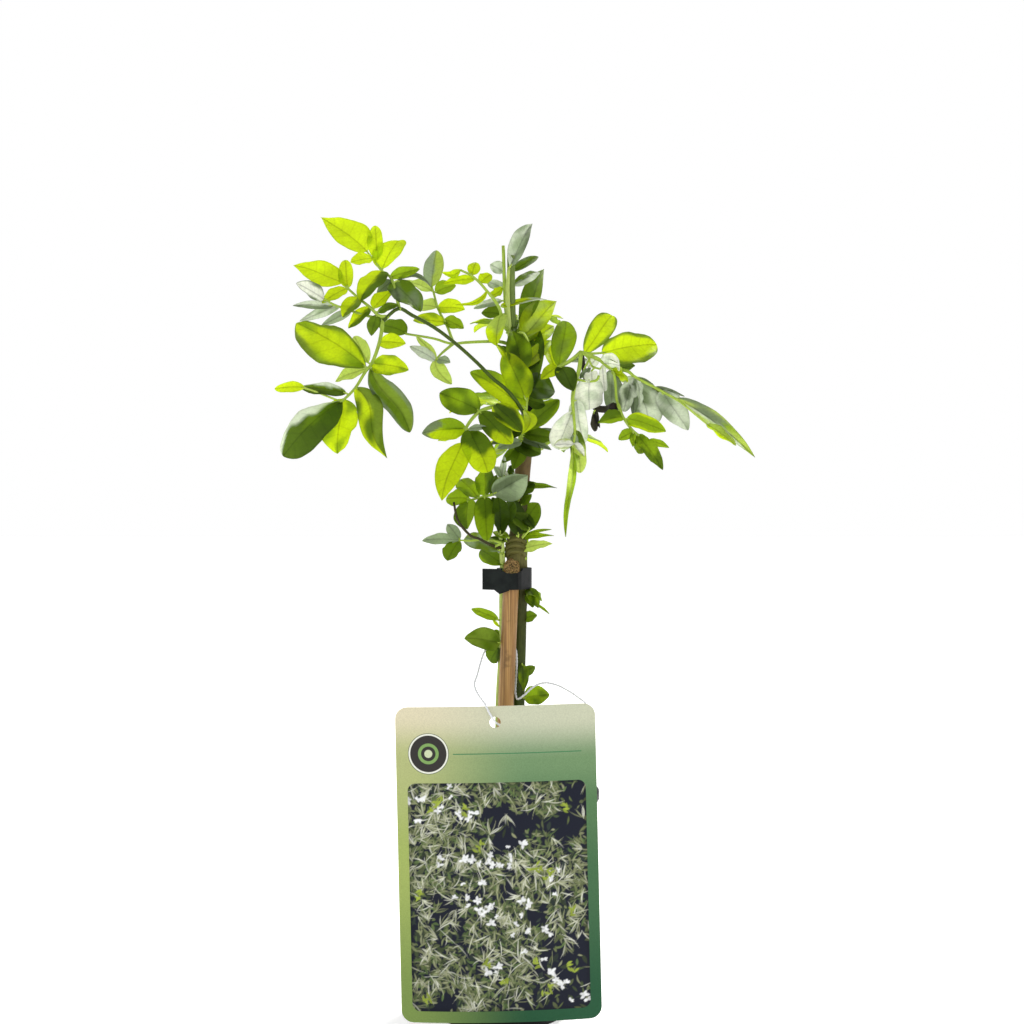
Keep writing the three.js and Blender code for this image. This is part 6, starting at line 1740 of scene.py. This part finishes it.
draw = random.Random(41)
seed_crumb = bmesh.new()
bmesh.ops.create_icosphere(seed_crumb, subdivisions=1, radius=1)
crumb_corners = [vertex.co.copy() for vertex in seed_crumb.verts]
crumb_faces = [tuple(vertex.index for vertex in face.verts) for face in seed_crumb.faces]
seed_crumb.free()
for crumb in range(CRUMBS):
    reach = CRUMB_REACH * math.sqrt(draw.random())
    turn = draw.uniform(0, 2 * math.pi)
    x, y = reach * math.cos(turn), reach * math.sin(turn)
    size = draw.uniform(*CRUMB_SIZES) * (BIG_FACTOR if draw.random() < BIG_SHARE else 1)
    middle = Vector((x, y, soil_height(x, y) + CRUMB_LIFT * size))
    shape = Vector((draw.uniform(0.7, 1.4), draw.uniform(0.6, 1.0), draw.uniform(0.4, 0.8))) * size
    tilt = Matrix.Rotation(draw.uniform(-0.6, 0.6), 3, "X")
    turned = Matrix.Rotation(draw.uniform(0, 6.28), 3, "Z") @ tilt
    points = []
    for corner in crumb_corners:
        rough = 1 + CRUMB_ROUGHNESS * noise.noise(corner * 1.6 + Vector((crumb, 0, 0)))
        points.append(middle + turned @ Vector(a * b for a, b in zip(corner, shape)) * rough)
    tint = draw.choices(CRUMB_TINTS, CRUMB_SHARES)[0]
    soil.add(points, crumb_faces, np.tile(tint, (len(points), 1)), np.zeros((len(points), 3)), 0)
dress(soil.build("potting_soil", [earth.material]), "potting_soil", "soil")

# %% [markdown]
# ## Painting on a grid
#
# The card carries a printed picture of a flowering hedge. It is painted on the corners of a fine
# grid, with one kind of stroke: a bent spindle that covers what lies under it. An image would do too,
# but then the lesson would need a file beside it.

# %% Lay out the picture and its stroke
PICTURE_WIDTH, PICTURE_HEIGHT = 75.6, 96.6
PICTURE_CELL = 0.31
picture_columns = int(PICTURE_WIDTH / PICTURE_CELL) + 1
picture_rows = int(PICTURE_HEIGHT / PICTURE_CELL) + 1
grid_x = np.linspace(0, PICTURE_WIDTH, picture_columns)[None, :] * np.ones((picture_rows, 1))
grid_z = np.linspace(0, PICTURE_HEIGHT, picture_rows)[:, None] * np.ones((1, picture_columns))
picture = np.ones((picture_rows, picture_columns, 3)) * colour(22, 26, 40)


def window(middle, reach, count):
    low, high = int((middle - reach) / PICTURE_CELL), int((middle + reach) / PICTURE_CELL) + 2
    return slice(min(max(low, 0), count), min(max(high, 0), count))


def stroke(x, z, length, width, turn, bend, tone):
    cells = window(z, length + width, picture_rows), window(x, length + width, picture_columns)
    dx, dz = grid_x[cells] - x, grid_z[cells] - z
    taper = 1 - ((dx * math.cos(turn) + dz * math.sin(turn)) / length) ** 2
    aside = np.abs(dz * math.cos(turn) - dx * math.sin(turn) - bend * length * taper)
    share = np.clip((width * taper - aside) / PICTURE_CELL + 0.5, 0, 1)[..., None]
    picture[cells] = picture[cells] * (1 - share) + np.asarray(tone) * share


print("picture cells:", picture_rows * picture_columns)

# %% [markdown]
# ## A flowering hedge
#
# The hedge is built up as a painter would do it: shaded leaves first, lighter ones over them, then
# tufts of pale strands, a few young sprigs, and white blossoms in loose groups along a slanting band.
# A slow noise leaves some places open, so the dark ground shows between the leaves.

# %% Paint the hedge
SHADED = [(52, 62, 44), (66, 78, 50), (44, 54, 48), (82, 90, 60)]
LEAFY = [(96, 108, 66), (120, 128, 88), (84, 104, 60), (136, 140, 106)]
PALE_STRANDS = [(172, 176, 142), (206, 208, 184), (146, 152, 112), (222, 224, 208)]
TUFTS, SPRIGS, BLOSSOM_GROUPS = 300, 16, 34
SPRIG_MARGIN = 4
draw = random.Random(52)


def open_dark(x, z):
    clump = noise.noise((x * 0.05, z * 0.045, 3.7)) + 0.4 * noise.noise((x * 0.16, z * 0.16, 1.3))
    return clump < -0.2 and draw.random() < 0.9


def scatter(count, length, width, tones, bend):
    for _ in range(count):
        x, z = draw.uniform(0, PICTURE_WIDTH), draw.uniform(0, PICTURE_HEIGHT)
        if open_dark(x, z):
            continue
        tone = colour(*draw.choice(tones)) * draw.uniform(0.7, 1.15)
        turn = draw.uniform(0, math.pi)
        stroke(x, z, draw.uniform(*length), draw.uniform(*width), turn, draw.uniform(-bend, bend), tone)


def tuft(x, z, strands, tones):
    lean = draw.uniform(0, 2 * math.pi)
    for _ in range(strands):
        turn, reach = lean + draw.uniform(-0.8, 0.8), draw.uniform(1.0, 3.4)
        middle_x, middle_z = x + reach * math.cos(turn), z + reach * math.sin(turn)
        tone = colour(*draw.choice(tones)) * draw.uniform(0.55, 1.1)
        stroke(middle_x, middle_z, reach, draw.uniform(0.1, 0.24), turn, draw.uniform(-0.2, 0.2), tone)


def blossom(x, z, size):
    for _ in range(draw.randint(4, 6)):
        turn = draw.uniform(0, 2 * math.pi)
        tone = colour(238, 240, 240) * draw.uniform(0.72, 1.0)
        middle_x, middle_z = x + 0.5 * size * math.cos(turn), z + 0.5 * size * math.sin(turn)
        stroke(middle_x, middle_z, size * 0.62, size * 0.3, turn, draw.uniform(-0.2, 0.2), tone)


scatter(1900, length=(0.8, 2.4), width=(0.4, 0.9), tones=SHADED, bend=0.2)
scatter(1700, length=(0.8, 2.2), width=(0.25, 0.6), tones=LEAFY, bend=0.3)
for _ in range(TUFTS):
    x, z = draw.uniform(0, PICTURE_WIDTH), draw.uniform(0, PICTURE_HEIGHT)
    if not open_dark(x, z):
        tuft(x, z, draw.randint(4, 11), PALE_STRANDS if draw.random() < 0.7 else LEAFY)
scatter(500, length=(1.5, 4.5), width=(0.1, 0.2), tones=PALE_STRANDS, bend=0.25)
for _ in range(SPRIGS):
    x = draw.uniform(SPRIG_MARGIN, PICTURE_WIDTH - SPRIG_MARGIN)
    z = draw.uniform(SPRIG_MARGIN, PICTURE_HEIGHT - SPRIG_MARGIN)
    for _ in range(5):
        tone = colour(158, 176, 66) * draw.uniform(0.6, 1)
        shift_x, shift_z = draw.uniform(-2, 2), draw.uniform(-2, 2)
        stroke(x + shift_x, z + shift_z, 1.5, 0.5, draw.uniform(0, math.pi), 0.1, tone)
for _ in range(BLOSSOM_GROUPS):
    share = draw.random()
    x, z = PICTURE_WIDTH * (0.9 - 0.8 * share) + draw.gauss(0, 9), PICTURE_HEIGHT * share + draw.gauss(0, 12)
    for _ in range(draw.randint(1, 4)):
        blossom(x + draw.gauss(0, 2.2), z + draw.gauss(0, 2.2), draw.uniform(0.9, 2.1))
print("mean tone of the picture:", picture.mean(axis=(0, 1)).round(3))

# %% [markdown]
# ## The card's printed ground
#
# The ground of the print turns from green at the foot to cream at the top, and is lighter on the left.
# Each side is a chain of tones over the height, and the two blend into each other. They are made in
# the shader, not on the grid, so that the fine line and the round mark on them stay sharp however
# near the eye comes. A line or a circle there is only a distance and a narrow step.

# %% Print the ground, the line and the mark
LEFT_TONES = {8: (120, 143, 75), 70: (156, 172, 94), 112: (171, 178, 121), 131: (212, 204, 174)}
RIGHT_TONES = {
    8: (36, 82, 54), 60: (66, 104, 70), 92: (84, 119, 80), 110: (110, 140, 99), 129: (192, 195, 170),
}
SIDE_BLEND = (-40, 14)
BLUR = 0.12
LINE_X, LINE_Z = 9.05, 113.6
LINE_ENDS, LINE_EDGE = (27.0, 27.4), (BLUR, 0.3)
MARK_X, MARK_Z, MARK_RADIUS = -28.6, 113.9, 8.7
MARK_RINGS = {
    MARK_RADIUS: (72, 84, 60), 8.45: (226, 228, 216), 7.75: (52, 50, 48), 4.4: (124, 160, 92),
    3.1: (52, 50, 48), 1.7: (196, 206, 170),
}

card = Finish("printed_card", 0.42, 0.12)
x, z, side = card.split(card.read("place")["Vector"])


def rising(tones):
    (low, first), *others = tones.items()
    tone = colour(*first)
    for high, upper in others:
        tone = card.mix(card.step(z, low, high), tone, colour(*upper))
        low = high
    return tone


def away(value, middle):
    return card.math("ABSOLUTE", card.math("SUBTRACT", value, middle))


def distance(a, b):
    squares = card.math("ADD", card.math("MULTIPLY", a, a), card.math("MULTIPLY", b, b))
    return card.math("SQRT", squares)


ground = card.mix(card.step(x, *SIDE_BLEND), rising(LEFT_TONES), rising(RIGHT_TONES))
line_x, line_z = away(x, LINE_X), away(z, LINE_Z)
on_line = card.math("MULTIPLY", card.step(line_x, *LINE_ENDS, 1, 0), card.step(line_z, *LINE_EDGE, 1, 0))
ground = card.mix(on_line, ground, colour(70, 124, 84))
reach = distance(card.math("SUBTRACT", x, MARK_X), card.math("SUBTRACT", z, MARK_Z))
for radius, tone in MARK_RINGS.items():
    ground = card.mix(card.step(reach, radius - BLUR, radius + BLUR, 1, 0), ground, colour(*tone))
print("rings in the mark:", len(MARK_RINGS))

# %% [markdown]
# ## The card's front and back
#
# The picture sits on the ground in a frame with round corners, a little darker towards its rim. The
# frame is the distance to a smaller rectangle, less the corner's radius. The back is plain pale board.

# %% Finish the front and the back
PICTURE_FOOT, PICTURE_CORNER = 4.8, 3.4
RIM_WIDTH, RIM_SHADE = 2.4, 0.72


def beyond(value, reach):
    return card.math("MAXIMUM", card.math("SUBTRACT", value, reach))


out_x = beyond(card.math("ABSOLUTE", x), PICTURE_WIDTH / 2 - PICTURE_CORNER)
out_z = beyond(away(z, PICTURE_FOOT + PICTURE_HEIGHT / 2), PICTURE_HEIGHT / 2 - PICTURE_CORNER)
edge = card.math("SUBTRACT", distance(out_x, out_z), PICTURE_CORNER)
picture_skin = card.scale(card.read("tint")["Color"], card.step(edge, -RIM_WIDTH, 0, 1, RIM_SHADE))
front = card.mix(card.step(edge, -BLUR, BLUR, 1, 0), ground, picture_skin)
paper = card.mix(card.noise(1600, 3, 0.7), colour(206, 210, 196), colour(226, 228, 216))
speckle = card.step(card.noise(1900, 2, 0.6), 0.3, 0.7, 0.93, 1.06)
card.shader.inputs["Coat Weight"].default_value = 0.03
card.shader.inputs["Coat Roughness"].default_value = 0.18
card.bump(card.noise(90, 2, 0.5), 0.0003, 0.25)
card.paint(card.scale(card.mix(card.step(side, 0.4, 0.6), paper, front), speckle))
print("nodes in the card's finish:", len(card.tree.nodes))

# %% [markdown]
# ## Bending the card
#
# The sheet is bowed round an upright axis, as its solid is. The front is a fine grid that carries the
# picture, and the back only needs a few rows, since it is straight upwards. Near the ends each row
# is drawn in to where the corner's circle asks it. A bend modifier would do too, but the grid is
# placed point by point anyway.

# %% Cut and bend the card
TAG_WIDTH, TAG_HEIGHT, TAG_THICKNESS = 85.0, 133.6, 0.8
TAG_CORNER = 5.0
BOW_RADIUS = 260.0
TAG_PLACE = Vector((1.2, -46.25, 9.4))
TAG_TURN = Matrix.Rotation(math.radians(-1.3), 3, "Y")
CORNER_ROWS = [0, 0.2, 0.6, 1.2, 2.0, 3.0, 4.0]
HEADER_ROWS = [107, 114, 120, 126, 128.6]
SIDE_COLUMN = 40
PLAIN_TINT = (0.1, 0.15, 0.1)


def on_card(x, z, back):
    turn = math.asin(x / BOW_RADIUS)
    radius = BOW_RADIUS - back
    return TAG_PLACE + TAG_TURN @ Vector((radius * math.sin(turn), BOW_RADIUS - radius * math.cos(turn), z))


def half_width_at(z):
    into_corner = TAG_CORNER - min(z, TAG_HEIGHT - z, TAG_CORNER)
    return TAG_WIDTH / 2 - TAG_CORNER + math.sqrt(TAG_CORNER**2 - into_corner**2)


columns = [-TAG_WIDTH / 2, -SIDE_COLUMN, *(grid_x[0] - PICTURE_WIDTH / 2), SIDE_COLUMN, TAG_WIDTH / 2]
picture_heights = list(grid_z[:, 0] + PICTURE_FOOT)
rows = [*CORNER_ROWS, *picture_heights, *HEADER_ROWS, *[TAG_HEIGHT - z for z in CORNER_ROWS[::-1]]]
back_rows = [i for i, z in enumerate(rows) if z <= PICTURE_FOOT or z >= HEADER_ROWS[-1]]
corners, tints, places = [], [], []
for back, chosen in ((0.0, range(len(rows))), (TAG_THICKNESS, back_rows)):
    for i in chosen:
        for j, x in enumerate(columns):
            x *= half_width_at(rows[i]) / (TAG_WIDTH / 2)
            corners.append(tuple(on_card(x, rows[i], back)))
            row, column = i - len(CORNER_ROWS), j - 2
            inside = back == 0 and 0 <= row < picture_rows and 0 <= column < picture_columns
            tints.append(picture[row, column] if inside else PLAIN_TINT)
            places.append((x, rows[i], 1.0 if back == 0 else 0.0))
print("corners of the card:", len(corners))

# %% [markdown]
# ## Closing the card
#
# The front and the back have different numbers of rows, so each face at the side takes in all of the
# front's rows between two of the back's. A solidify modifier would close the sheet without this, but
# its back would be as fine as its front for nothing.

# %% Close the card
faces = []
wide = len(columns)
start = len(rows) * wide
for i in range(len(rows) - 1):
    for j in range(wide - 1):
        a = i * wide + j
        faces.append((a, a + 1, a + 1 + wide, a + wide))
for i in range(len(back_rows) - 1):
    for j in range(wide - 1):
        a = start + i * wide + j
        faces.append((a, a + wide, a + 1 + wide, a + 1))
top_front, top_back = (len(rows) - 1) * wide, start + (len(back_rows) - 1) * wide
for j in range(wide - 1):
    faces.append((j, start + j, start + j + 1, j + 1))
    faces.append((top_front + j, top_front + j + 1, top_back + j + 1, top_back + j))
for i, (low, high) in enumerate(zip(back_rows, back_rows[1:])):
    for j, order in ((0, 1), (wide - 1, -1)):
        upward = [row * wide + j for row in range(low, high + 1)]
        downward = [start + (i + 1) * wide + j, start + i * wide + j]
        faces.append(tuple(upward + downward)[::order])
sheet = Growth()
sheet.add(corners, faces, tints, places, 0)
tag = sheet.build("hanging_card", [card.material])

# %% [markdown]
# ## The hole in the card
#
# The thread passes through one punched hole. A Boolean cuts it, as in the pot. The corners that it
# makes carry no place of their own yet, so they get theirs from where they lie.

# %% Punch the hole
HOLE_RADIUS, HOLE_DROP, HOLE_MARGIN = 2.4, 6.8, 0.2
PUNCH_SIDES, PUNCH_ENDS = 48, (-3, 4)
CARD_SHARP_ANGLE = 35

hole_z = TAG_HEIGHT - HOLE_DROP
punch_points = []
for back in PUNCH_ENDS:
    for k in range(PUNCH_SIDES):
        angle = 2 * math.pi * k / PUNCH_SIDES
        x, z = HOLE_RADIUS * math.cos(angle), hole_z + HOLE_RADIUS * math.sin(angle)
        punch_points.append(TAG_PLACE + TAG_TURN @ Vector((x, back, z)))
punch_faces = []
for k in range(PUNCH_SIDES):
    after = (k + 1) % PUNCH_SIDES
    punch_faces.append((k, k + PUNCH_SIDES, after + PUNCH_SIDES, after))
punch_faces += [tuple(range(PUNCH_SIDES)), tuple(range(PUNCH_SIDES, 2 * PUNCH_SIDES))[::-1]]
punch = make_piece("punch", punch_points, punch_faces, card.material)
cut_away(tag, "hole", punch)
apply_modifiers(tag)
bpy.data.objects.remove(punch)
for vertex, place in zip(tag.data.vertices, tag.data.attributes["place"].data):
    x, y, z = TAG_TURN.transposed() @ (vertex.co / MM - TAG_PLACE)
    if math.hypot(x, z - hole_z) < HOLE_RADIUS + HOLE_MARGIN:
        in_front = y < BOW_RADIUS - math.sqrt(BOW_RADIUS**2 - x * x) + TAG_THICKNESS / 2
        place.vector = (x, z, 1.0 if in_front else 0.0)
tag.data.set_sharp_from_angle(angle=math.radians(CARD_SHARP_ANGLE))
dress(tag, "card", "tag")
print("card faces:", len(tag.data.polygons))

# %% [markdown]
